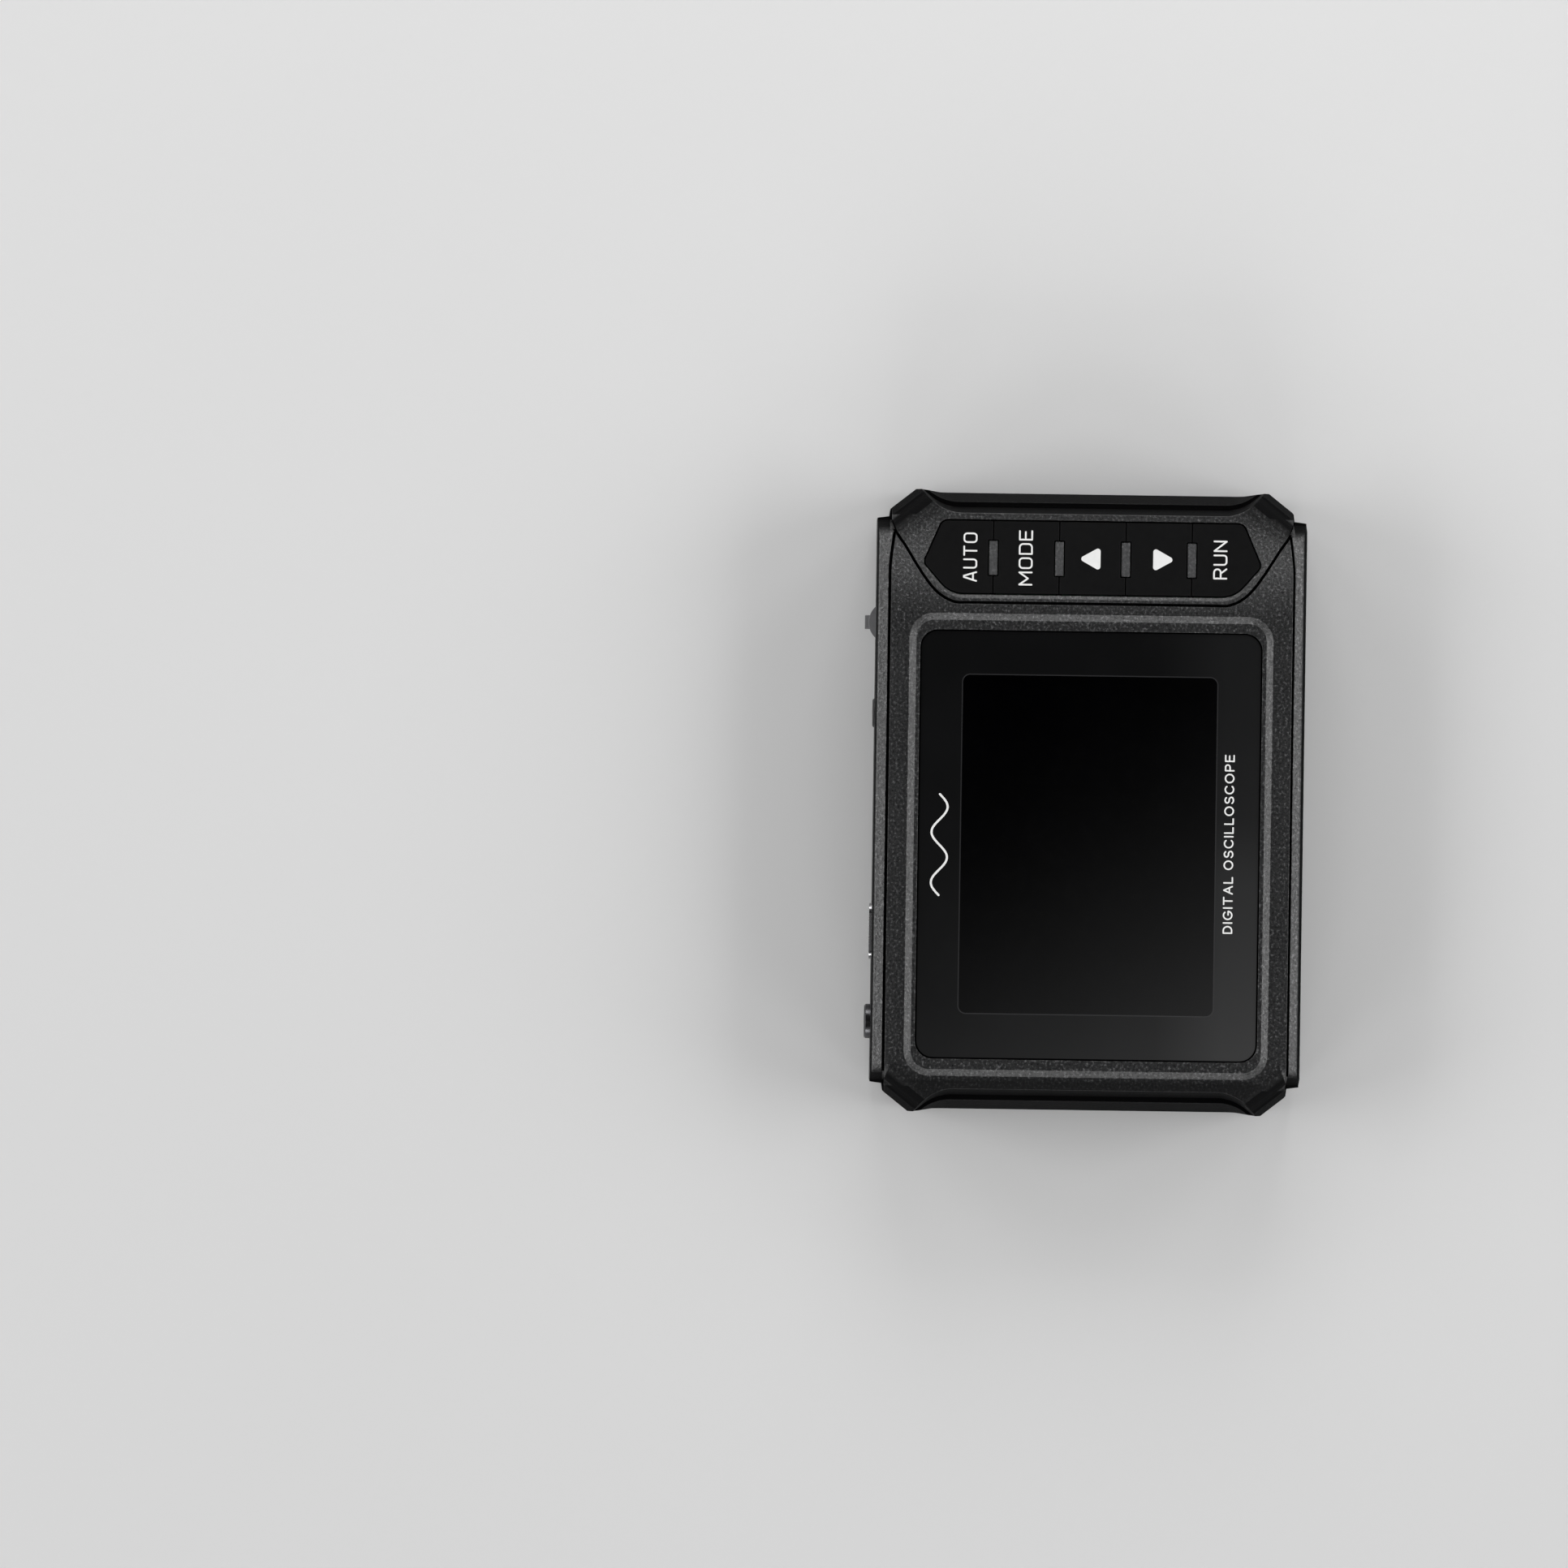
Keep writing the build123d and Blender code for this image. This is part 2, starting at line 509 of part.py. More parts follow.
# ---------------------------------------------------------------------------
# keys: five caps, each over the plunger of its own switch
# ---------------------------------------------------------------------------
PAD = inset(KEYPAD, KEY_FIT)
edges_y = [30.0, BAR_Y[3], BAR_Y[2], BAR_Y[1], BAR_Y[0], -30.0]
keycaps = []
for i, (kname, ky) in enumerate(zip(KEY_NAMES, KEY_Y)):
    y1 = edges_y[i] - (KEY_SLIT / 2 if i > 0 else 0)
    y0 = edges_y[i + 1] + (KEY_SLIT / 2 if i < 4 else 0)
    with BuildPart() as cap:
        with BuildSketch(Plane.XY.offset(KEY_BOTTOM)) as capsk:
            Polygon(*PAD, align=None)
            if i in (0, 4):
                fillet(capsk.vertices().filter_by(lambda v: v.X < 33.4), 4.4)
                fillet(capsk.vertices().filter_by(lambda v: 37 < v.X < 38.5 and abs(v.Y) > 26), 1.1)
                fillet(capsk.vertices().filter_by(lambda v: v.X > 44 and abs(v.Y) > 22.5), 1.4)
            with Locations((KEY_CX, (y0 + y1) / 2)):
                Rectangle(20, y1 - y0, mode=Mode.INTERSECT)
            with Locations(*[(BAR_CX, y) for y in BAR_Y]):
                RectangleRounded(BAR_L + 0.36, BAR_W + 0.36, 0.2, mode=Mode.SUBTRACT)
        extrude(amount=KEY_TOP - KEY_BOTTOM)
        top = cap.faces().sort_by(Axis.Z)[-1]
        fillet(top.edges(), 0.13)
        # stem over the plunger
        with BuildSketch(Plane.XY.offset(15.45)):
            with Locations((KEY_CX, ky)):
                Circle(1.7)
        extrude(amount=KEY_BOTTOM - 15.45 + 0.2)
    cap.part.label = "key_" + kname
    export_step(cap.part, "parts/key_%s.step" % kname)
    with BuildPart() as plunger:
        with BuildSketch(Plane.XY.offset(13.3)):
            with Locations((KEY_CX, ky)):
                Circle(1.2)
        extrude(amount=15.45 - 13.3)
    plunger.part.label = "plunger_" + kname
    export_step(plunger.part, "parts/plunger_%s.step" % kname)

with BuildPart() as tact_switches:
    with BuildSketch(Plane.XY.offset(PCB_Z1)):
        with Locations(*[(KEY_CX, y) for y in KEY_Y]):
            RectangleRounded(5.2, 5.2, 0.3)
    extrude(amount=2.0)
    with BuildSketch(Plane.XY.offset(12.9)):
        with Locations(*[(KEY_CX, y) for y in KEY_Y]):
            Circle(1.25)
    extrude(amount=3, mode=Mode.SUBTRACT)
tact_switches.part.label = "tact_switches"
export_step(tact_switches.part, "parts/tact_switches.step")

# ---------------------------------------------------------------------------
# sockets and switch in the +Y edge
# ---------------------------------------------------------------------------
XZ_OUT = Plane(origin=(0, 0, 0), x_dir=(-1, 0, 0), z_dir=(0, 1, 0))     # sketch x is -X, sketch y is +Z


def edge_plane(y):
    return XZ_OUT.offset(y)


with BuildPart() as mcx_jack:
    with BuildSketch(edge_plane(28.2)):
        with Locations((-MCX_X, MCX_Z)):
            Circle(MCX_R)
    extrude(amount=MCX_FACE - 28.2)
    with BuildSketch(edge_plane(28.2)):
        with Locations((-MCX_X, MCX_Z - 0.2)):
            Rectangle(6.0, 5.6)
    extrude(amount=3.3)
    chamfer(mcx_jack.faces().sort_by(Axis.Y)[-1].edges(), 0.25)
    # stepped bore: mouth for the plug's sleeve, then the seat of the insulator
    with BuildSketch(edge_plane(MCX_FACE - MCX_BORE_L)):
        with Locations((-MCX_X, MCX_Z)):
            Circle(MCX_BORE_R)
    extrude(amount=MCX_BORE_L + 1, mode=Mode.SUBTRACT)
    with BuildSketch(edge_plane(28.9)):
        with Locations((-MCX_X, MCX_Z)):
            Circle(1.6)
    extrude(amount=5, mode=Mode.SUBTRACT)
mcx_jack.part.label = "mcx_jack"
export_step(mcx_jack.part, "parts/mcx_jack.step")

with BuildPart() as mcx_insulator:
    with BuildSketch(edge_plane(28.9)):
        with Locations((-MCX_X, MCX_Z)):
            Circle(1.6)
            Circle(0.45, mode=Mode.SUBTRACT)
    extrude(amount=MCX_FACE - MCX_BORE_L - 28.9)
mcx_insulator.part.label = "mcx_insulator"
export_step(mcx_insulator.part, "parts/mcx_insulator.step")

with BuildPart() as mcx_contact:
    with BuildSketch(edge_plane(28.9)):
        with Locations((-MCX_X, MCX_Z)):
            Circle(0.45)
    extrude(amount=MCX_FACE - MCX_BORE_L - 28.9 - 0.05)
    with BuildSketch(edge_plane(MCX_FACE - MCX_BORE_L - 1.6)):
        with Locations((-MCX_X, MCX_Z)):
            Circle(0.2)
    extrude(amount=2, mode=Mode.SUBTRACT)
mcx_contact.part.label = "mcx_contact"
export_step(mcx_contact.part, "parts/mcx_contact.step")

with BuildPart() as usb_c_shell:
    with BuildSketch(edge_plane(USB_FACE - 7.3)):
        with Locations((-USB_X, USB_Z)):
            RectangleRounded(USB_W, USB_H, USB_H / 2 - 0.01)
    extrude(amount=7.3)
    with BuildSketch(edge_plane(USB_FACE - 6.4)):
        with Locations((-USB_X, USB_Z)):
            RectangleRounded(8.34, 2.56, 1.27)
    extrude(amount=8, mode=Mode.SUBTRACT)
usb_c_shell.part.label = "usb_c_shell"
export_step(usb_c_shell.part, "parts/usb_c_shell.step")

with BuildPart() as usb_c_tongue:
    with BuildSketch(edge_plane(USB_FACE - 6.4)):
        with Locations((-USB_X, USB_Z)):
            Rectangle(6.69, 0.7)
    extrude(amount=5.4)
    chamfer(usb_c_tongue.faces().sort_by(Axis.Y)[-1].edges(), 0.12)
usb_c_tongue.part.label = "usb_c_tongue"
export_step(usb_c_tongue.part, "parts/usb_c_tongue.step")

with BuildPart() as cal_terminal:
    with BuildSketch(edge_plane(29.4)):
        with Locations((-CAL_X, CAL_Z)):
            Circle(CAL_R)
    extrude(amount=CAL_FACE - 29.4)
    chamfer(cal_terminal.faces().sort_by(Axis.Y)[-1].edges(), 0.2)
    with BuildSketch(edge_plane(31.0)):
        with Locations((-CAL_X, CAL_Z)):
            Circle(0.9)
    extrude(amount=6, mode=Mode.SUBTRACT)
cal_terminal.part.label = "cal_terminal"
export_step(cal_terminal.part, "parts/cal_terminal.step")

with BuildPart() as cal_contact:
    with BuildSketch(edge_plane(31.0)):
        with Locations((-CAL_X, CAL_Z)):
            Circle(0.9)
            Circle(0.55, mode=Mode.SUBTRACT)
    extrude(amount=CAL_FACE - 31.0 - 0.5)
cal_contact.part.label = "cal_contact"
export_step(cal_contact.part, "parts/cal_contact.step")

# slide switch: case under the board, lever and cap move together
with BuildPart() as power_switch_case:
    with BuildSketch(edge_plane(26.6)):
        with Locations((-SW_X, SW_Z)):
            Rectangle(8.6, 2 * (PCB_Z0 - SW_Z))
    extrude(amount=3.4)
    with BuildSketch(edge_plane(28.2)):
        with Locations((-SW_X, SW_Z)):
            Rectangle(2.0 + SW_TRAVEL + 0.4, 1.6)
    extrude(amount=3, mode=Mode.SUBTRACT)
power_switch_case.part.label = "power_switch_case"
export_step(power_switch_case.part, "parts/power_switch_case.step")

with BuildPart() as power_lever:
    with BuildSketch(edge_plane(28.4)):
        with Locations((-(SW_X - SW_TRAVEL / 2), SW_Z)):
            Rectangle(2.0, 1.4)
    extrude(amount=2.5)
power_lever.part.label = "power_lever"
export_step(power_lever.part, "parts/power_lever.step")

with BuildPart() as power_slider:
    # inner plate behind the wall
    with BuildSketch(edge_plane(30.9)):
        with Locations((-(SW_X - SW_TRAVEL / 2), SW_Z)):
            Rectangle(9.6, 3.0)
    extrude(amount=0.9)
    # neck through the wall, arched outside
    with BuildSketch(Plane.XY.offset(SW_Z - 1.0)):
        with BuildLine():
            cx = SW_X - SW_TRAVEL / 2
            Polyline((cx - 2.5, 34.2), (cx - 2.5, 31.7), (cx + 2.5, 31.7), (cx + 2.5, 34.2))
            ThreePointArc((cx + 2.5, 34.2), (cx, 35.3), (cx - 2.5, 34.2))
        make_face()
    extrude(amount=2.0)
    # grip nub
    with BuildSketch(edge_plane(34.6)):
        with Locations((-(SW_X - SW_TRAVEL / 2), SW_Z)):
            RectangleRounded(2.2, 1.7, 0.25)
    extrude(amount=35.9 - 34.6)
power_slider.part.label = "power_slider"
export_step(power_slider.part, "parts/power_slider.step")

# ---------------------------------------------------------------------------
# battery
# ---------------------------------------------------------------------------
with BuildPart() as battery_tape:
    with BuildSketch(Plane.XY.offset(WALL)):
        with Locations((-6, 6), (-6, -10)):
            Rectangle(36, 6)
    extrude(amount=0.2)
battery_tape.part.label = "battery_tape"
export_step(battery_tape.part, "parts/battery_tape.step")

with BuildPart() as battery_cell:
    with BuildSketch(Plane.XY.offset(WALL + 0.2)):
        with Locations((-6, -2)):
            Rectangle(50, 34)
    extrude(amount=5.0)
    fillet(battery_cell.edges().filter_by(Axis.Y), 1.2)
battery_cell.part.label = "battery_cell"
export_step(battery_cell.part, "parts/battery_cell.step")

with BuildPart() as battery_socket:
    with BuildSketch(Plane.XY.offset(PCB_Z0 - 2.4)):
        with Locations((28, -14)):
            Rectangle(4.6, 6.0)
    extrude(amount=2.4)
    with BuildSketch(Plane.YZ.offset(25.7)):
        with Locations((-14, PCB_Z0 - 1.3)):
            Rectangle(4.4, 1.5)
    extrude(amount=2.6, mode=Mode.SUBTRACT)
battery_socket.part.label = "battery_socket"
export_step(battery_socket.part, "parts/battery_socket.step")

with BuildPart() as battery_plug:
    with BuildSketch(Plane.YZ.offset(24.6)):
        with Locations((-14, PCB_Z0 - 1.3)):
            Rectangle(4.2, 1.3)
    extrude(amount=3.6)
battery_plug.part.label = "battery_plug"
export_step(battery_plug.part, "parts/battery_plug.step")

# the two battery leads: straight runs joined by tangent arcs
for wname, wy in (("battery_lead_red", -13.2), ("battery_lead_black", -14.8)):
    with BuildPart() as wire:
        with BuildLine() as path:
            FilletPolyline((19.05, wy, 6.1), (21.9, wy, 6.1), (21.9, wy, PCB_Z0 - 1.3), (24.55, wy, PCB_Z0 - 1.3), radius=1.25)
        with BuildSketch(Plane.YZ.offset(19.05)):
            with Locations((wy, 6.1)):
                Circle(0.45)
        sweep(path=path.wire())
    wire.part.label = wname
    export_step(wire.part, "parts/%s.step" % wname)

# ---------------------------------------------------------------------------
# fasteners and label
# ---------------------------------------------------------------------------
with BuildPart() as case_screws:
    with BuildSketch(Plane.XY.offset(WELL_DEPTH - SCREW_HEAD_H)):
        with GridLocations(2 * BOSS_X, 2 * BOSS_Y, 2, 2):
            Circle(SCREW_HEAD_R)
    extrude(amount=SCREW_HEAD_H)
    # cross recess in each head
    with BuildSketch(Plane.XY.offset(WELL_DEPTH - SCREW_HEAD_H)):
        with GridLocations(2 * BOSS_X, 2 * BOSS_Y, 2, 2):
            Rectangle(2.0, 0.45)
            Rectangle(0.45, 2.0)
    extrude(amount=0.7, mode=Mode.SUBTRACT)
    with BuildSketch(Plane.XY.offset(WELL_DEPTH)):
        with GridLocations(2 * BOSS_X, 2 * BOSS_Y, 2, 2):
            Circle(SCREW_R)
    extrude(amount=14.2 - WELL_DEPTH)
case_screws.part.label = "case_screws"
export_step(case_screws.part, "parts/case_screws.step")

with BuildPart() as board_screws:
    with BuildSketch(Plane.XY.offset(PCB_Z0 - 1.2)):
        with Locations(*BSCREW):
            Circle(BSCREW_HEAD_R)
    extrude(amount=1.2)
    with BuildSketch(Plane.XY.offset(PCB_Z0)):
        with Locations(*BSCREW):
            Circle(BSCREW_R)
    extrude(amount=4.2)
board_screws.part.label = "board_screws"
export_step(board_screws.part, "parts/board_screws.step")

with BuildPart() as rating_label:
    with BuildSketch(Plane.XY.offset(0.15)):
        RectangleRounded(57.2, 33.2, 1.8)
    extrude(amount=0.1)
rating_label.part.label = "rating_label"
export_step(rating_label.part, "parts/rating_label.step")
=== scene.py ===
import bpy, bmesh, math
from mathutils import Vector, Matrix


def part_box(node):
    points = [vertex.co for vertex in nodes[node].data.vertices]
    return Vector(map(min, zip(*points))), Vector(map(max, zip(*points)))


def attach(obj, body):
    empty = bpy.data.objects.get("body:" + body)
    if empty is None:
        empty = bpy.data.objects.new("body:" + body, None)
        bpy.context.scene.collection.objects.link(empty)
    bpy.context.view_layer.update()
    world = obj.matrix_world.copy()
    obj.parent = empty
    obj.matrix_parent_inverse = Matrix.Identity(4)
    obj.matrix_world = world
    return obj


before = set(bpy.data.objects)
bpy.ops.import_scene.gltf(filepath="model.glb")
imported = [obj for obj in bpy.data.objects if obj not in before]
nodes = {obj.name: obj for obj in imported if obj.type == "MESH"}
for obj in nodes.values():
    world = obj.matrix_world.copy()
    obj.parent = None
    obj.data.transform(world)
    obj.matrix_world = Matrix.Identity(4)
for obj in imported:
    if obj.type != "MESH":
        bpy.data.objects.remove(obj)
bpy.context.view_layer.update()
MM = 0.001


# ---------------------------------------------------------------------------
# camera: straight down on the screen, as far off as the view shows it
# ---------------------------------------------------------------------------
cam_data = bpy.data.cameras.new("view")
cam_data.sensor_width = 36.0
cam_data.lens = 202.6
cam_data.clip_end = 20.0
cam = bpy.data.objects.new("view", cam_data)
bpy.context.scene.collection.objects.link(cam)
bpy.context.scene.camera = cam
tilt = math.radians(0.83)
up = Vector((math.cos(tilt), math.sin(tilt), 0.0))      # the picture's up, in the object's frame
right = Vector((math.sin(tilt), -math.cos(tilt), 0.0))  # the picture's right
CAM_X, CAM_Y, CAM_H = 2.25 * MM, 48.45 * MM, 1.4187
rot = Matrix((right, up, Vector((0, 0, 1)))).transposed().to_4x4()
cam.matrix_world = Matrix.Translation((CAM_X, CAM_Y, CAM_H)) @ rot


# ---------------------------------------------------------------------------
# small helpers for node materials
# ---------------------------------------------------------------------------
class Mat:
    """One material: a principled shader and the nodes that feed it."""

    def __init__(self, name, base, rough, metallic=0.0, spec=0.5, coat=0.0, coat_rough=0.05):
        self.m = bpy.data.materials.new(name)
        self.m.use_nodes = True
        self.t = self.m.node_tree
        self.t.nodes.clear()
        self.out = self.n("ShaderNodeOutputMaterial")
        self.b = self.n("ShaderNodeBsdfPrincipled")
        self.t.links.new(self.b.outputs[0], self.out.inputs[0])
        self.b.inputs["Base Color"].default_value = (*base, 1.0)
        self.b.inputs["Roughness"].default_value = rough
        self.b.inputs["Metallic"].default_value = metallic
        self.b.inputs["Specular IOR Level"].default_value = spec
        self.b.inputs["Coat Weight"].default_value = coat
        self.b.inputs["Coat Roughness"].default_value = coat_rough
        self.base, self.rough = base, rough
        self.co = self.n("ShaderNodeTexCoord").outputs["Object"]
        self.normal = None

    def n(self, kind, **kw):
        node = self.t.nodes.new(kind)
        for k, v in kw.items():
            setattr(node, k, v)
        return node

    def link(self, a, b):
        self.t.links.new(a, b)

    def noise(self, scale, detail=3.0, rough=0.55, vec=None, distortion=0.0):
        k = self.n("ShaderNodeTexNoise")
        k.inputs["Scale"].default_value = scale
        k.inputs["Detail"].default_value = detail
        k.inputs["Roughness"].default_value = rough
        k.inputs["Distortion"].default_value = distortion
        self.link(vec or self.co, k.inputs["Vector"])
        return k.outputs["Fac"]

    def cells(self, scale, feature="F1", vec=None):
        k = self.n("ShaderNodeTexVoronoi", feature=feature)
        k.inputs["Scale"].default_value = scale
        self.link(vec or self.co, k.inputs["Vector"])
        return k.outputs["Distance"]

    def ramp(self, fac, lo, hi, a, b):
        """Map fac from lo..hi to the value range a..b."""
        k = self.n("ShaderNodeMapRange")
        k.inputs["From Min"].default_value = lo
        k.inputs["From Max"].default_value = hi
        k.inputs["To Min"].default_value = a
        k.inputs["To Max"].default_value = b
        self.link(fac, k.inputs["Value"])
        return k.outputs["Result"]

    def math(self, op, a, b=None, c=None):
        k = self.n("ShaderNodeMath", operation=op)
        for i, v in enumerate((a, b, c)):
            if v is None:
                continue
            if isinstance(v, (int, float)):
                k.inputs[i].default_value = v
            else:
                self.link(v, k.inputs[i])
        return k.outputs[0]

    def mix(self, fac, a, b):
        k = self.n("ShaderNodeMix", data_type="RGBA")
        if isinstance(fac, (int, float)):
            k.inputs[0].default_value = fac
        else:
            self.link(fac, k.inputs[0])
        for sock, v in ((k.inputs[6], a), (k.inputs[7], b)):
            if isinstance(v, tuple):
                sock.default_value = (*v, 1.0)
            else:
                self.link(v, sock)
        return k.outputs[2]

    def colour(self, c):
        self.link(c, self.b.inputs["Base Color"])

    def vary(self, scale, amount, detail=4.0):
        """Cloudy colour variation about the base colour."""
        f = self.noise(scale, detail)
        lo = tuple(max(0.0, c * (1 - amount)) for c in self.base)
        hi = tuple(min(1.0, c * (1 + amount)) for c in self.base)
        self.colour(self.mix(self.ramp(f, 0.3, 0.7, 0.0, 1.0), lo, hi))
        return self

    def rough_vary(self, scale, lo, hi, detail=3.0):
        self.link(self.ramp(self.noise(scale, detail), 0.3, 0.7, lo, hi), self.b.inputs["Roughness"])
        return self

    def bump(self, height, strength, distance):
        k = self.n("ShaderNodeBump")
        k.inputs["Strength"].default_value = strength
        k.inputs["Distance"].default_value = distance
        self.link(height, k.inputs["Height"])
        if self.normal is not None:
            self.link(self.normal, k.inputs["Normal"])
        self.normal = k.outputs["Normal"]
        self.link(self.normal, self.b.inputs["Normal"])
        return self

    def soften(self, radius):
        """Rounds the shading of sharp edges by a small radius."""
        k = self.n("ShaderNodeBevel", samples=6)
        k.inputs["Radius"].default_value = radius
        self.normal = k.outputs["Normal"]
        self.link(self.normal, self.b.inputs["Normal"])
        return self


def put(mat, *names):
    for n in names:
        o = nodes[n]
        o.data.materials.clear()
        o.data.materials.append(mat.m)


# ---------------------------------------------------------------------------
# materials of the outside
# ---------------------------------------------------------------------------
DIP = 0.33      # steepest slope of the shading where the face turns down towards the keys


def case_material():
    m = Mat("case_plastic", (0.020, 0.0202, 0.0207), 0.40, spec=0.5)
    m.soften(0.00014)
    sep = m.n("ShaderNodeSeparateXYZ")
    m.link(m.co, sep.inputs[0])
    x, y, z = sep.outputs[0], sep.outputs[1], sep.outputs[2]
    ax, ay = m.math("ABSOLUTE", x), m.math("ABSOLUTE", y)
    facing = m.n("ShaderNodeSeparateXYZ")
    m.link(m.n("ShaderNodeNewGeometry").outputs["True Normal"], facing.inputs[0])
    nz = facing.outputs[2]
    # the flat face dips a little towards the keys
    turn = m.math("MINIMUM", m.math("MULTIPLY", m.math("MAXIMUM", m.math("SUBTRACT", x, 0.0285), 0.0), math.pi / 0.020), math.pi)
    dip = m.math("MULTIPLY", m.math("SUBTRACT", m.math("COSINE", turn), 1.0), DIP * 0.020 / math.pi)
    level = m.normal
    m.bump(dip, 1.0, 1.0)
    on_face = m.math("MULTIPLY", m.ramp(z, 0.01862, 0.01866, 0.0, 1.0), m.ramp(ay, 0.03180, 0.03184, 1.0, 0.0))
    pick = m.n("ShaderNodeMix", data_type="VECTOR")
    m.link(on_face, pick.inputs[0])
    m.link(level, pick.inputs[4])
    m.link(m.normal, pick.inputs[5])
    m.normal = pick.outputs[1]
    # finer, duller finish plus painted shade: the scooped ends, the cut corners, the side walls and the fall at each
    # rail's end get lower gloss and a darker painted colour
    end = m.math("MULTIPLY", m.ramp(ax, 0.0452, 0.0454, 0.0, 1.0), m.ramp(z, 0.01845, 0.01866, 1.0, 0.0))
    # painted shade: the face just inside the -X end is painted darker and duller
    end_face_shade = m.ramp(x, -0.04460, -0.04345, 0.80, 0.0)
    diag = m.math("ADD", m.math("MULTIPLY", ax, 0.7856), m.math("MULTIPLY", ay, 0.6187))
    horn = m.ramp(m.math("SUBTRACT", ay, m.math("MULTIPLY", ax, 0.431)), 0.01280, 0.01295, 1.0, 0.0)
    corner = m.math("MULTIPLY", m.ramp(diag, 0.0505, 0.0537, 0.0, 1.0), horn)
    # painted highlight: a thin line along each cut corner is spared the painted shade and stays lighter
    ridge_highlight = m.math("MULTIPLY", m.ramp(m.math("ABSOLUTE", m.math("SUBTRACT", diag, 0.05506)), 0.00010, 0.00055, 0.80, 0.0), horn)
    side = m.ramp(m.math("ABSOLUTE", m.math("SUBTRACT", y, 0.00012)), 0.03362, 0.03385, 0.0, 1.0)
    rail_end = m.math("MULTIPLY", m.ramp(ax, 0.0419, 0.0434, 0.0, 1.0), m.ramp(ay, 0.0321, 0.0322, 0.0, 1.0))
    dull_and_shade = m.math("MAXIMUM", m.math("MAXIMUM", end, m.math("SUBTRACT", corner, ridge_highlight)), m.math("MAXIMUM", side, rail_end))
    dull_and_shade = m.math("MAXIMUM", dull_and_shade, end_face_shade)
    # painted highlight: a strip along the ledge of each scooped end is spared part of the painted shade and stays
    # lighter
    ledge_highlight = m.math("MULTIPLY", m.ramp(m.math("ABSOLUTE", m.math("SUBTRACT", ax, 0.0472)), 0.00025, 0.00045, 0.30, 0.0),
                  m.ramp(ay, 0.0215, 0.0232, 1.0, 0.0))
    dull_and_shade = m.math("SUBTRACT", dull_and_shade, ledge_highlight)
    upright = m.ramp(m.math("ABSOLUTE", nz), 0.06, 0.16, 1.0, 0.0)
    dull_and_shade = m.math("MULTIPLY", dull_and_shade, m.ramp(upright, 0.0, 1.0, 1.0, 0.80))
    dull_and_shade.node.use_clamp = True
    # painted shade: the bottoms and sides of the fine grooves are painted dark
    deep = m.math("MULTIPLY", m.ramp(nz, 0.93, 0.96, 0.0, 1.0), m.math("MULTIPLY", m.ramp(z, 0.01794, 0.01798, 1.0, 0.0), m.ramp(ay, 0.0323, 0.0324, 1.0, 0.0)))
    inner = m.math("MULTIPLY", m.math("MULTIPLY", upright, m.ramp(z, 0.01660, 0.01665, 0.0, 1.0)),
                   m.math("MULTIPLY", m.ramp(ay, 0.0323, 0.0324, 1.0, 0.0), m.ramp(ax, 0.0450, 0.0452, 1.0, 0.0)))
    groove_shade = m.math("MAXIMUM", deep, inner)
    dull_and_shade = m.math("MAXIMUM", dull_and_shade, groove_shade)
    f = m.noise(90.0, 3.0)
    grain = m.noise(2300.0, 3.0, 0.7)
    fine = m.noise(7000.0, 2.0, 0.6)
    c1 = m.mix(m.ramp(f, 0.35, 0.65, 0.0, 1.0), (0.0122, 0.0124, 0.0128), (0.0168, 0.0170, 0.0175))
    spark = m.ramp(grain, 0.56, 0.70, 0.0, 1.0)
    c2 = m.mix(spark, c1, (0.118, 0.119, 0.121))
    # the four bars in the key strip are lighter
    off = m.math("MINIMUM", m.math("ABSOLUTE", m.math("SUBTRACT", ay, 0.00527)), m.math("ABSOLUTE", m.math("SUBTRACT", ay, 0.01576)))
    bar = m.math("MULTIPLY", m.ramp(m.math("ABSOLUTE", m.math("SUBTRACT", x, 0.0386)), 0.00258, 0.00264, 1.0, 0.0),
                 m.ramp(off, 0.00053, 0.00059, 1.0, 0.0))
    bar = m.math("MULTIPLY", bar, m.ramp(z, 0.01844, 0.01852, 0.0, 1.0))
    c3 = m.mix(bar, c2, m.mix(spark, (0.061, 0.0615, 0.063), (0.114, 0.115, 0.117)))
    # painted shade: within the dull parts the flatter ends of the face are painted darker than the upright walls
    painted_shade_colour = m.mix(upright, (0.0055, 0.0056, 0.0058), (0.0130, 0.0131, 0.0134))
    m.colour(m.mix(groove_shade, m.mix(dull_and_shade, c3, painted_shade_colour), (0.0025, 0.0025, 0.0027)))
    gloss = m.ramp(grain, 0.36, 0.66, 0.40, 1.0)
    k = m.n("ShaderNodeMix", data_type="FLOAT")
    m.link(dull_and_shade, k.inputs[0])
    m.link(gloss, k.inputs[2])
    k.inputs[3].default_value = 0.02
    m.link(k.outputs[0], m.b.inputs["Specular IOR Level"])
    m.link(m.math("MAXIMUM", m.ramp(grain, 0.3, 0.7, 0.26, 0.46), m.math("MULTIPLY", dull_and_shade, 0.6)), m.b.inputs["Roughness"])
    h = m.math("ADD", m.math("MULTIPLY", grain, 0.75), m.math("MULTIPLY", fine, 0.25))
    m.bump(h, 0.9, 0.00013)
    return m


def key_material():
    m = Mat("key_rubber", (0.0024, 0.0024, 0.0026), 0.62, spec=0.14)
    m.soften(0.00008)
    m.vary(150.0, 0.12)
    m.rough_vary(1200.0, 0.56, 0.70)
    m.bump(m.noise(7000.0, 2.0), 0.25, 0.00003)
    return m


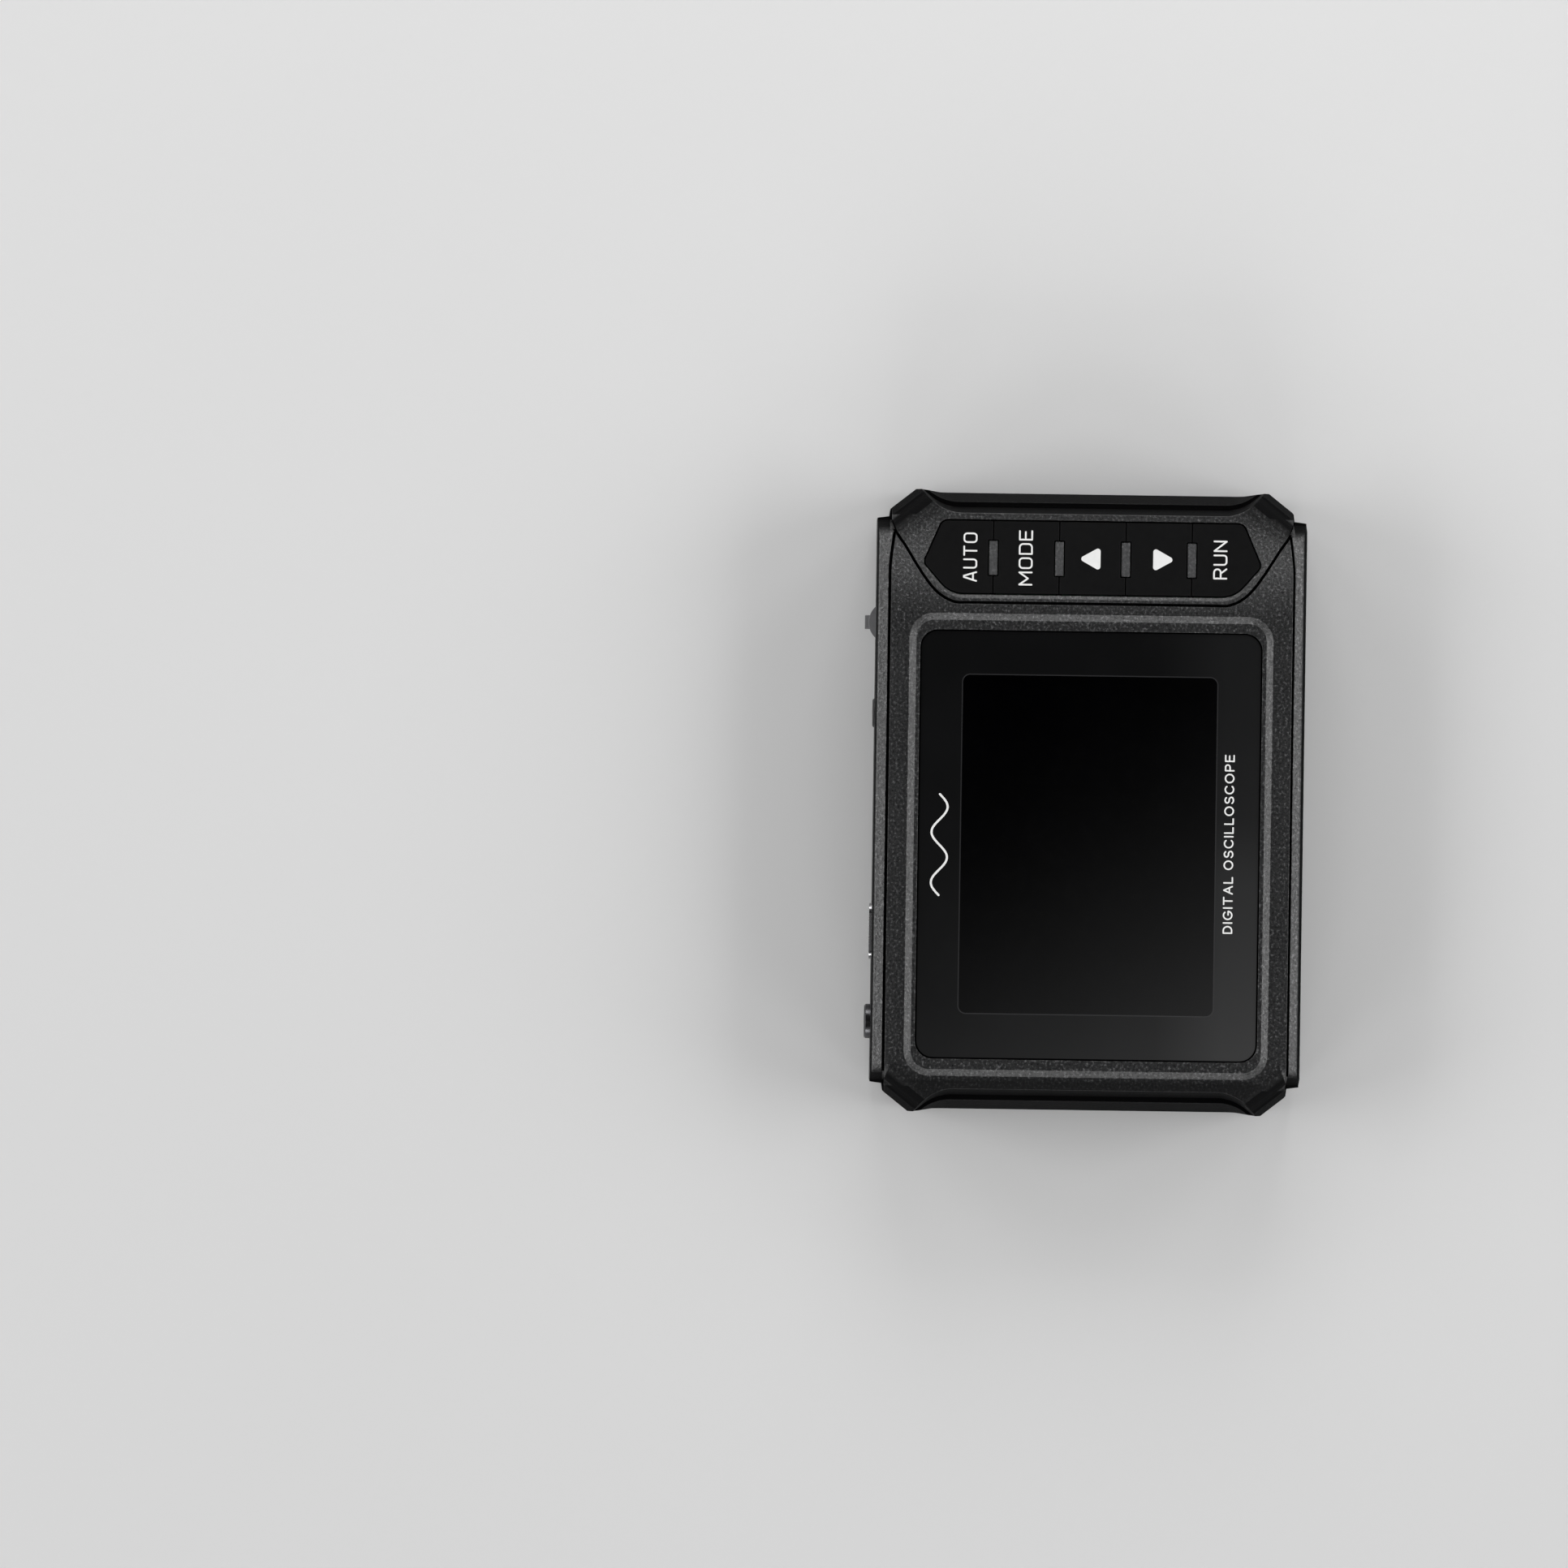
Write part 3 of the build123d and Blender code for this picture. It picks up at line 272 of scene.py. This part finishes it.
def lens_material():
    """Polished sheet, printed black behind, with a clear window over the dark display and a fine line round it."""
    m = Mat("lens_gloss", (0.006, 0.006, 0.0062), 0.03, spec=0.5)
    sep = m.n("ShaderNodeSeparateXYZ")
    m.link(m.co, sep.inputs[0])
    cx, cy, hx, hy, r = -6.8 * MM, 0.12 * MM, 26.86 * MM, 20.2 * MM, 1.2 * MM
    ax = m.math("SUBTRACT", m.math("ABSOLUTE", m.math("SUBTRACT", sep.outputs[0], cx)), hx - r)
    ay = m.math("SUBTRACT", m.math("ABSOLUTE", m.math("SUBTRACT", sep.outputs[1], cy)), hy - r)
    mx, my = m.math("MAXIMUM", ax, 0.0), m.math("MAXIMUM", ay, 0.0)
    d = m.math("SUBTRACT", m.math("ADD", m.math("SQRT", m.math("ADD", m.math("MULTIPLY", mx, mx), m.math("MULTIPLY", my, my))),
                                  m.math("MINIMUM", m.math("MAXIMUM", ax, ay), 0.0)), r)
    inside = m.ramp(d, -0.00003, 0.00003, 1.0, 0.0)
    line = m.ramp(m.math("ABSOLUTE", m.math("SUBTRACT", d, 0.00005)), 0.00005, 0.00012, 1.0, 0.0)
    cloud = m.noise(60.0, 2.0)
    border = m.mix(m.ramp(cloud, 0.35, 0.65, 0.0, 1.0), (0.0050, 0.0051, 0.0053), (0.0062, 0.0063, 0.0066))
    # painted reflection: the border is painted lighter towards the lettered edge, as a pale reflection on the polished
    # sheet
    painted_reflection = m.math("ADD", m.ramp(sep.outputs[0], -0.0130, -0.0020, 0.75, 0.28), 0.0)
    painted_reflection = m.math("MULTIPLY", painted_reflection, m.ramp(sep.outputs[1], -0.0215, -0.0110, 1.0, 0.0))
    border = m.mix(painted_reflection, border, (0.0235, 0.0237, 0.0242))
    window = m.mix(m.ramp(cloud, 0.35, 0.65, 0.0, 1.0), (0.0003, 0.0003, 0.0004), (0.0006, 0.0006, 0.0008))
    c = m.mix(inside, border, window)
    m.colour(m.mix(line, c, (0.026, 0.026, 0.027)))
    m.link(m.ramp(m.noise(500.0, 3.0), 0.3, 0.7, 0.02, 0.045), m.b.inputs["Roughness"])
    return m


CASE = case_material()
KEY = key_material()
LENS = lens_material()
put(CASE, "front_cover", "rear_cover")
put(LENS, "screen_lens")
put(KEY, *[n for n in nodes if n.startswith("key_")])

# sockets and switch
steel = Mat("nickel_shell", (0.55, 0.55, 0.56), 0.28, metallic=1.0).rough_vary(900.0, 0.20, 0.36)
steel.bump(steel.noise(2500.0, 2.0), 0.10, 0.00002)
put(steel, "usb_c_shell", "cal_contact")
gold = Mat("gold_plate", (0.72, 0.52, 0.24), 0.24, metallic=1.0).vary(400.0, 0.08).rough_vary(1500.0, 0.18, 0.32)
gold.bump(gold.noise(3000.0, 2.0), 0.08, 0.00002)
put(gold, "mcx_contact")
gun = Mat("black_nickel", (0.10, 0.10, 0.105), 0.30, metallic=1.0).vary(500.0, 0.10).rough_vary(1500.0, 0.24, 0.38)
gun.bump(gun.noise(3000.0, 2.0), 0.10, 0.00002)
put(gun, "mcx_jack")
ptfe = Mat("white_insulator", (0.78, 0.78, 0.75), 0.5).vary(600.0, 0.05)
ptfe.bump(ptfe.noise(4000.0, 2.0), 0.15, 0.00002)
put(ptfe, "mcx_insulator")
dark = Mat("dark_moulding", (0.018, 0.018, 0.019), 0.45).vary(300.0, 0.15).rough_vary(1800.0, 0.38, 0.54)
dark.bump(dark.noise(5000.0, 2.0), 0.25, 0.00003)
put(dark, "usb_c_tongue", "cal_terminal", "power_lever", "tact_switches", *[n for n in nodes if n.startswith("plunger_")])
grip = Mat("slider_grey", (0.16, 0.16, 0.165), 0.48).vary(400.0, 0.10)
grip.soften(0.0001)
grip.bump(grip.noise(5200.0, 2.0), 0.35, 0.00004)
put(grip, "power_slider")
screw = Mat("black_zinc", (0.09, 0.09, 0.095), 0.32, metallic=1.0).vary(700.0, 0.2).rough_vary(1600.0, 0.24, 0.42)
screw.bump(screw.noise(3500.0, 2.0), 0.12, 0.00002)
put(screw, "case_screws", "board_screws")
label = Mat("label_film", (0.11, 0.11, 0.115), 0.42).vary(60.0, 0.06)
label.bump(label.noise(3500.0, 2.0), 0.12, 0.00002)
put(label, "rating_label")

# inside
tape = Mat("adhesive_film", (0.02, 0.02, 0.02), 0.6).vary(200.0, 0.2)
tape.bump(tape.noise(2500.0, 2.0), 0.2, 0.00002)
put(tape, "lens_tape", "battery_tape")
foam = Mat("cell_foam", (0.022, 0.022, 0.023), 0.95).vary(300.0, 0.2)
foam.bump(foam.cells(2600.0), 0.6, 0.00015)
put(foam, "lcd_gasket", "lcd_pads")
glass = Mat("display_polariser", (0.004, 0.004, 0.006), 0.10).vary(80.0, 0.2).rough_vary(300.0, 0.06, 0.14)
put(glass, "lcd_glass")
white = Mat("backlight_frame", (0.62, 0.62, 0.60), 0.45).vary(120.0, 0.05)
white.bump(white.noise(3000.0, 2.0), 0.15, 0.00003)
put(white, "lcd_backlight")
flex = Mat("polyimide", (0.35, 0.17, 0.03), 0.25, coat=0.4).vary(150.0, 0.15)
flex.bump(flex.noise(1200.0, 2.0), 0.1, 0.00003)
put(flex, "lcd_flex")
board = Mat("solder_mask", (0.008, 0.075, 0.032), 0.28, coat=0.3)
weave = board.math("MULTIPLY", board.math("SINE", board.math("MULTIPLY", board.noise(500.0, 2.0), 6.0)), 0.5)
board.vary(260.0, 0.22)
board.bump(weave, 0.15, 0.00003)
put(board, "main_board")
chip = Mat("epoxy_package", (0.017, 0.017, 0.018), 0.55).vary(500.0, 0.18).rough_vary(2200.0, 0.48, 0.64)
chip.bump(chip.noise(6000.0, 2.0), 0.3, 0.00003)
put(chip, "mcu_chip", "analog_chips", "charger_chip", "power_inductor")
ceram = Mat("ceramic_body", (0.30, 0.22, 0.14), 0.4).vary(900.0, 0.25)
ceram.bump(ceram.noise(5000.0, 2.0), 0.2, 0.00002)
put(ceram, "passives")
can = Mat("plated_can", (0.5, 0.5, 0.5), 0.3, metallic=1.0).vary(500.0, 0.08).rough_vary(1500.0, 0.22, 0.38)
can.bump(can.noise(2500.0, 2.0), 0.1, 0.00002)
put(can, "crystal_can", "power_switch_case")
nylon = Mat("ivory_nylon", (0.60, 0.56, 0.45), 0.5).vary(500.0, 0.06)
nylon.bump(nylon.noise(4000.0, 2.0), 0.2, 0.00002)
put(nylon, "lcd_socket", "battery_socket", "battery_plug")
pouch = Mat("pouch_foil", (0.55, 0.57, 0.60), 0.32, metallic=0.9).vary(100.0, 0.06).rough_vary(400.0, 0.24, 0.40)
pouch.bump(pouch.noise(180.0, 3.0), 0.25, 0.0003)
put(pouch, "battery_cell")
red = Mat("red_insulation", (0.42, 0.012, 0.01), 0.35).vary(400.0, 0.1)
red.bump(red.noise(3000.0, 2.0), 0.1, 0.00002)
put(red, "battery_lead_red")
blk = Mat("black_insulation", (0.012, 0.012, 0.012), 0.35).vary(400.0, 0.15)
blk.bump(blk.noise(3000.0, 2.0), 0.1, 0.00002)
put(blk, "battery_lead_black")
ink = Mat("white_ink", (0.86, 0.86, 0.85), 0.55, spec=0.3).vary(800.0, 0.03)
ink.bump(ink.noise(9000.0, 2.0), 0.15, 0.00001)


# ---------------------------------------------------------------------------
# printed marks
# ---------------------------------------------------------------------------
def capsule(bm, a, b, r, z0, z1, steps=10):
    """Straight stroke with round ends, as a closed prism."""
    d = b - a
    a0 = math.atan2(d.y, d.x)
    pts = [b + Vector((math.cos(a0 - math.pi / 2 + math.pi * k / steps), math.sin(a0 - math.pi / 2 + math.pi * k / steps))) * r for k in range(steps + 1)]
    pts += [a + Vector((math.cos(a0 + math.pi / 2 + math.pi * k / steps), math.sin(a0 + math.pi / 2 + math.pi * k / steps))) * r for k in range(steps + 1)]
    top = [bm.verts.new((p.x, p.y, z1)) for p in pts]
    bot = [bm.verts.new((p.x, p.y, z0)) for p in pts]
    m = len(pts)
    for i in range(m):
        j = (i + 1) % m
        bm.faces.new((top[i], bot[i], bot[j], top[j]))
    bm.faces.new(top)
    bm.faces.new(bot[::-1])


def stroke_mesh(name, strokes, width, z0, z1, body, mat):
    """Strokes with round ends and joins as one thin closed mesh. Points are in mm, in the object's frame."""
    parts = []
    for pts in strokes:
        p = [Vector((x, y)) for x, y in pts]
        for a, b in zip(p[:-1], p[1:]):
            if (b - a).length < 1e-6:
                continue
            bm = bmesh.new()
            capsule(bm, a, b, width / 2, z0, z1)
            me = bpy.data.meshes.new("s")
            bm.to_mesh(me)
            bm.free()
            parts.append(me)
    # union of all the strokes in mm, then to metres
    base = bpy.data.objects.new(name, parts[0])
    bpy.context.scene.collection.objects.link(base)
    rest = bmesh.new()
    coll = bpy.data.collections.new(name + "_parts")
    bpy.context.scene.collection.children.link(coll)
    others = []
    for me in parts[1:]:
        o = bpy.data.objects.new("s", me)
        coll.objects.link(o)
        others.append(o)
    if others:
        mod = base.modifiers.new("join", "BOOLEAN")
        mod.operation = "UNION"
        mod.operand_type = "COLLECTION"
        mod.collection = coll
        mod.solver = "EXACT"
        mod.use_self = True
        bpy.context.view_layer.update()
        dg = bpy.context.evaluated_depsgraph_get()
        done = bpy.data.meshes.new_from_object(base.evaluated_get(dg))
    else:
        done = base.data.copy()
    rest.free()
    bpy.data.objects.remove(base)
    for o in others:
        bpy.data.objects.remove(o)
    bpy.data.collections.remove(coll)
    done.name = name
    done.transform(Matrix.Scale(MM, 4))
    o = bpy.data.objects.new(name, done)
    bpy.context.scene.collection.objects.link(o)
    done.materials.clear()
    done.materials.append(mat.m)
    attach(o, body)
    return o


def arc(cx, cy, r, a0, a1, n=6):
    return [(cx + r * math.cos(math.radians(a0 + (a1 - a0) * k / n)), cy + r * math.sin(math.radians(a0 + (a1 - a0) * k / n))) for k in range(n + 1)]


def ring(w, h, r):
    """Rounded rectangle, centred on its own width, from y=0 to y=h."""
    p = arc(w - r, r, r, -90, 0) + arc(w - r, h - r, r, 0, 90) + arc(r, h - r, r, 90, 180) + arc(r, r, r, 180, 270)
    return p + [p[0]]


GLYPHS = {   # unit: cap height 1; each is (width, strokes). Squarish rounded letters for the keys.
    "A": (0.86, [[(0.0, 0.0), (0.37, 1.0), (0.49, 1.0), (0.86, 0.0)], [(0.13, 0.26), (0.73, 0.26)]]),
    "U": (0.82, [[(0.0, 1.0), (0.0, 0.24)] + arc(0.24, 0.24, 0.24, 180, 270) + arc(0.58, 0.24, 0.24, 270, 360) + [(0.82, 1.0)]]),
    "T": (0.84, [[(0.0, 1.0), (0.84, 1.0)], [(0.42, 1.0), (0.42, 0.0)]]),
    "O": (0.86, [ring(0.86, 1.0, 0.27)]),
    "M": (1.06, [[(0.0, 0.0), (0.0, 1.0), (0.53, 0.30), (1.06, 1.0), (1.06, 0.0)]]),
    "D": (0.86, [[(0.0, 0.0), (0.0, 1.0), (0.56, 1.0)] + arc(0.56, 0.70, 0.30, 90, 0) + arc(0.56, 0.30, 0.30, 0, -90) + [(0.0, 0.0)]]),
    "E": (0.74, [[(0.74, 1.0), (0.0, 1.0), (0.0, 0.0), (0.74, 0.0)], [(0.0, 0.52), (0.66, 0.52)]]),
    "R": (0.82, [[(0.0, 0.0), (0.0, 1.0), (0.54, 1.0)] + arc(0.54, 0.73, 0.27, 90, -90, 8) + [(0.0, 0.46)], [(0.44, 0.46), (0.82, 0.0)]]),
    "N": (0.84, [[(0.0, 0.0), (0.0, 1.0), (0.84, 0.0), (0.84, 1.0)]]),
}


def curve(cx, cy, rx, ry, a0, a1, n=12):
    return [(cx + rx * math.cos(math.radians(a0 + (a1 - a0) * k / n)), cy + ry * math.sin(math.radians(a0 + (a1 - a0) * k / n))) for k in range(n + 1)]


PRINT = {   # rounder letters for the words on the lens
    "D": (0.74, [[(0.0, 0.0), (0.0, 1.0), (0.30, 1.0)] + curve(0.30, 0.5, 0.44, 0.5, 90, -90, 14) + [(0.0, 0.0)]]),
    "I": (0.0, [[(0.0, 0.0), (0.0, 1.0)]]),
    "G": (0.88, [curve(0.46, 0.5, 0.46, 0.5, 42, 352, 20) + [(0.88, 0.45), (0.50, 0.45)]]),
    "T": (0.78, [[(0.0, 1.0), (0.78, 1.0)], [(0.39, 1.0), (0.39, 0.0)]]),
    "A": (0.84, [[(0.0, 0.0), (0.42, 1.0), (0.84, 0.0)], [(0.15, 0.34), (0.69, 0.34)]]),
    "L": (0.60, [[(0.0, 1.0), (0.0, 0.0), (0.60, 0.0)]]),
    "O": (0.94, [curve(0.47, 0.5, 0.47, 0.5, 0, 360, 26)]),
    "S": (0.70, [curve(0.36, 0.74, 0.31, 0.26, 25, 180, 8) + curve(0.36, 0.74, 0.31, 0.235, 180, 262, 5)[1:] + curve(0.35, 0.26, 0.35, 0.255, 82, 0, 5) + curve(0.35, 0.26, 0.35, 0.26, 0, -160, 9)[1:]]),
    "C": (0.84, [curve(0.46, 0.5, 0.46, 0.5, 40, 320, 20)]),
    "P": (0.66, [[(0.0, 0.0), (0.0, 1.0), (0.38, 1.0)] + curve(0.38, 0.73, 0.28, 0.27, 90, -90, 8) + [(0.0, 0.46)]]),
    "E": (0.66, [[(0.66, 1.0), (0.0, 1.0), (0.0, 0.0), (0.66, 0.0)], [(0.0, 0.53), (0.60, 0.53)]]),
    " ": (0.12, []),
}


def word(name, text, cx, cy, cap, width, line, body, z, font=GLYPHS, spacing=0.42, thick=0.03):
    """Word in rounded strokes, centred at cx, cy in mm; width is the whole word's."""
    r = line / 2
    c = cap - line
    total = sum(font[ch][0] for ch in text)
    sx = (width - line * len(text) - spacing * (len(text) - 1)) / total
    x = cx - width / 2
    strokes = []
    for ch in text:
        gw, gs = font[ch]
        for st in gs:
            strokes.append([(x + r + px * sx, cy - cap / 2 + r + py * c) for px, py in st])
        x += gw * sx + line + spacing
    return stroke_mesh(name, strokes, line, z - 0.004, z + thick, body, ink)


KEY_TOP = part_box("key_up")[1].z / MM
word("legend_auto", "AUTO", 38.68, 19.42, 2.22, 7.8, 0.27, "key_auto_assembly", KEY_TOP)
word("legend_mode", "MODE", 38.68, 10.62, 2.22, 8.75, 0.27, "key_mode_assembly", KEY_TOP)
word("legend_run", "RUN", 38.78, -20.27, 2.22, 6.15, 0.27, "key_run_assembly", KEY_TOP)


def triangle(name, cx, cy, h, base, r, up_dir, body, z):
    """Rounded triangle pointing along +Y or -Y of the legend row."""
    s = up_dir
    pts = [Vector((cx, cy + s * h / 2)), Vector((cx + base / 2, cy - s * h / 2)), Vector((cx - base / 2, cy - s * h / 2))]
    outline = []
    for i in range(3):
        a, b, c = pts[i - 1], pts[i], pts[(i + 1) % 3]
        d1, d2 = (a - b).normalized(), (c - b).normalized()
        ang = d1.angle(d2)
        t = r / math.tan(ang / 2)
        p0, p1 = b + d1 * t, b + d2 * t
        centre = b + (d1 + d2).normalized() * (r / math.sin(ang / 2))
        for k in range(7):
            q = p0.lerp(p1, k / 6) - centre
            outline.append(centre + q.normalized() * r)
    bm = bmesh.new()
    top = [bm.verts.new((v.x * MM, v.y * MM, (z + 0.03) * MM)) for v in outline]
    bot = [bm.verts.new((v.x * MM, v.y * MM, (z - 0.004) * MM)) for v in outline]
    n = len(outline)
    for i in range(n):
        j = (i + 1) % n
        bm.faces.new((top[i], top[j], bot[j], bot[i]))
    bm.faces.new(top)
    bm.faces.new(bot[::-1])
    bmesh.ops.recalc_face_normals(bm, faces=bm.faces)
    me = bpy.data.meshes.new(name)
    bm.to_mesh(me)
    bm.free()
    o = bpy.data.objects.new(name, me)
    bpy.context.scene.collection.objects.link(o)
    me.materials.append(ink.m)
    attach(o, body)
    return o


triangle("legend_up", 38.66, 0.5, 3.5, 3.9, 0.42, 1, "key_up_assembly", KEY_TOP)
triangle("legend_down", 38.68, -11.36, 3.5, 3.9, 0.42, -1, "key_down_assembly", KEY_TOP)

# words on the lens
LENS_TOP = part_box("screen_lens")[1].z
word("lens_words", "DIGITAL OSCILLOSCOPE", -6.3, -22.2, 1.56, 28.4, 0.235, "housing", LENS_TOP / MM, PRINT, 0.34, 0.02)

# a plain sine wave, where makers print their mark
wave = [(-15.0 + 16.0 * k / 64, 23.7 + 1.25 * math.sin(4 * math.pi * k / 64)) for k in range(65)]
stroke_mesh("lens_wave", [wave], 0.34, LENS_TOP / MM - 0.004, LENS_TOP / MM + 0.02, "housing", ink)

# ---------------------------------------------------------------------------
# floor, light
# ---------------------------------------------------------------------------
floor_mat = Mat("studio_floor", (0.72, 0.72, 0.72), 0.75, spec=0.2)
floor_mat.vary(3.0, 0.01)
fme = bpy.data.meshes.new("floor")
S = 3.0
fme.from_pydata([(-S, -S, 0), (S, -S, 0), (S, S, 0), (-S, S, 0)], [], [(0, 1, 2, 3)])
fme.materials.append(floor_mat.m)
floor = bpy.data.objects.new("floor", fme)
floor.location = (0, 0, -0.0001)
bpy.context.scene.collection.objects.link(floor)


def area(name, loc, target, size, size_y, power, col=(1, 1, 1)):
    d = bpy.data.lights.new(name, "AREA")
    d.shape = "RECTANGLE"
    d.size, d.size_y = size, size_y
    d.energy = power
    d.color = col
    o = bpy.data.objects.new(name, d)
    o.location = loc
    direction = Vector(target) - Vector(loc)
    o.rotation_euler = direction.to_track_quat("-Z", "Y").to_euler()
    bpy.context.scene.collection.objects.link(o)
    return o


def softbox(name, az, el, dist, w, h, radiance):
    """Rectangular light of even radiance, aimed at the object."""
    a, e = math.radians(az), math.radians(el)
    loc = (dist * math.cos(e) * math.cos(a), dist * math.cos(e) * math.sin(a), dist * math.sin(e))
    return area(name, loc, (0, 0, 0.01), w, h, radiance * math.pi * w * h)


softbox("soft_py", 90, 27, 1.35, 0.95, 0.66, 4.8)
softbox("soft_ny", -90, 27, 1.35, 0.95, 0.66, 5.3)
softbox("soft_px", 0, 26, 0.62, 0.36, 0.24, 5.6)
softbox("soft_nx", 180, 22, 1.35, 0.75, 0.44, 4.8)
for turn in (45, 135, -135, -45):
    softbox("soft_corner_%d" % (turn % 360), turn, 27, 1.35, 0.45, 0.42, 3.6)

# overhead: dark, with a soft pale patch that the polished screen picks up on one side
world = bpy.data.worlds.new("studio")
bpy.context.scene.world = world
world.use_nodes = True
wt = world.node_tree
wt.nodes.clear()


def wmath(op, a, b=None):
    k = wt.nodes.new("ShaderNodeMath")
    k.operation = op
    for i, v in enumerate((a, b)):
        if v is None:
            continue
        if isinstance(v, (int, float)):
            k.inputs[i].default_value = v
        else:
            wt.links.new(v, k.inputs[i])
    return k.outputs[0]


def wrange(v, a, b, c, d, smooth=False):
    k = wt.nodes.new("ShaderNodeMapRange")
    k.interpolation_type = "SMOOTHSTEP" if smooth else "LINEAR"
    wt.links.new(v, k.inputs["Value"])
    k.inputs["From Min"].default_value = a
    k.inputs["From Max"].default_value = b
    k.inputs["To Min"].default_value = c
    k.inputs["To Max"].default_value = d
    return k.outputs["Result"]


wc = wt.nodes.new("ShaderNodeTexCoord")
ws = wt.nodes.new("ShaderNodeSeparateXYZ")
wt.links.new(wc.outputs["Generated"], ws.inputs[0])
zx = wmath("DIVIDE", ws.outputs[0], wmath("MAXIMUM", ws.outputs[2], 0.01))
zy = wmath("DIVIDE", ws.outputs[1], wmath("MAXIMUM", ws.outputs[2], 0.01))
along = wmath("ADD", wmath("MULTIPLY", zx, -0.86), wmath("MULTIPLY", zy, -0.51))
ramp_lens = wmath("MULTIPLY", wmath("POWER", wrange(along, -0.003, 0.056, 0.0, 1.0), 3.0), 0.79)
radius = wmath("SQRT", wmath("ADD", wmath("MULTIPLY", zx, zx), wmath("MULTIPLY", zy, zy)))
patch = wrange(radius, 0.10, 0.22, 1.0, 0.0, True)
above = wrange(ws.outputs[2], 0.0, 0.05, 0.0, 1.0)
low = wrange(ws.outputs[2], 0.10, 0.85, 0.16, 0.0, True)
strength = wmath("MULTIPLY", above, wmath("ADD", low, wmath("MULTIPLY", ramp_lens, patch)))
bg = wt.nodes.new("ShaderNodeBackground")
wo = wt.nodes.new("ShaderNodeOutputWorld")
wt.links.new(bg.outputs[0], wo.inputs[0])
bg.inputs["Color"].default_value = (1.0, 1.0, 1.0, 1)
wt.links.new(strength, bg.inputs["Strength"])

bpy.context.scene.view_settings.view_transform = "Standard"
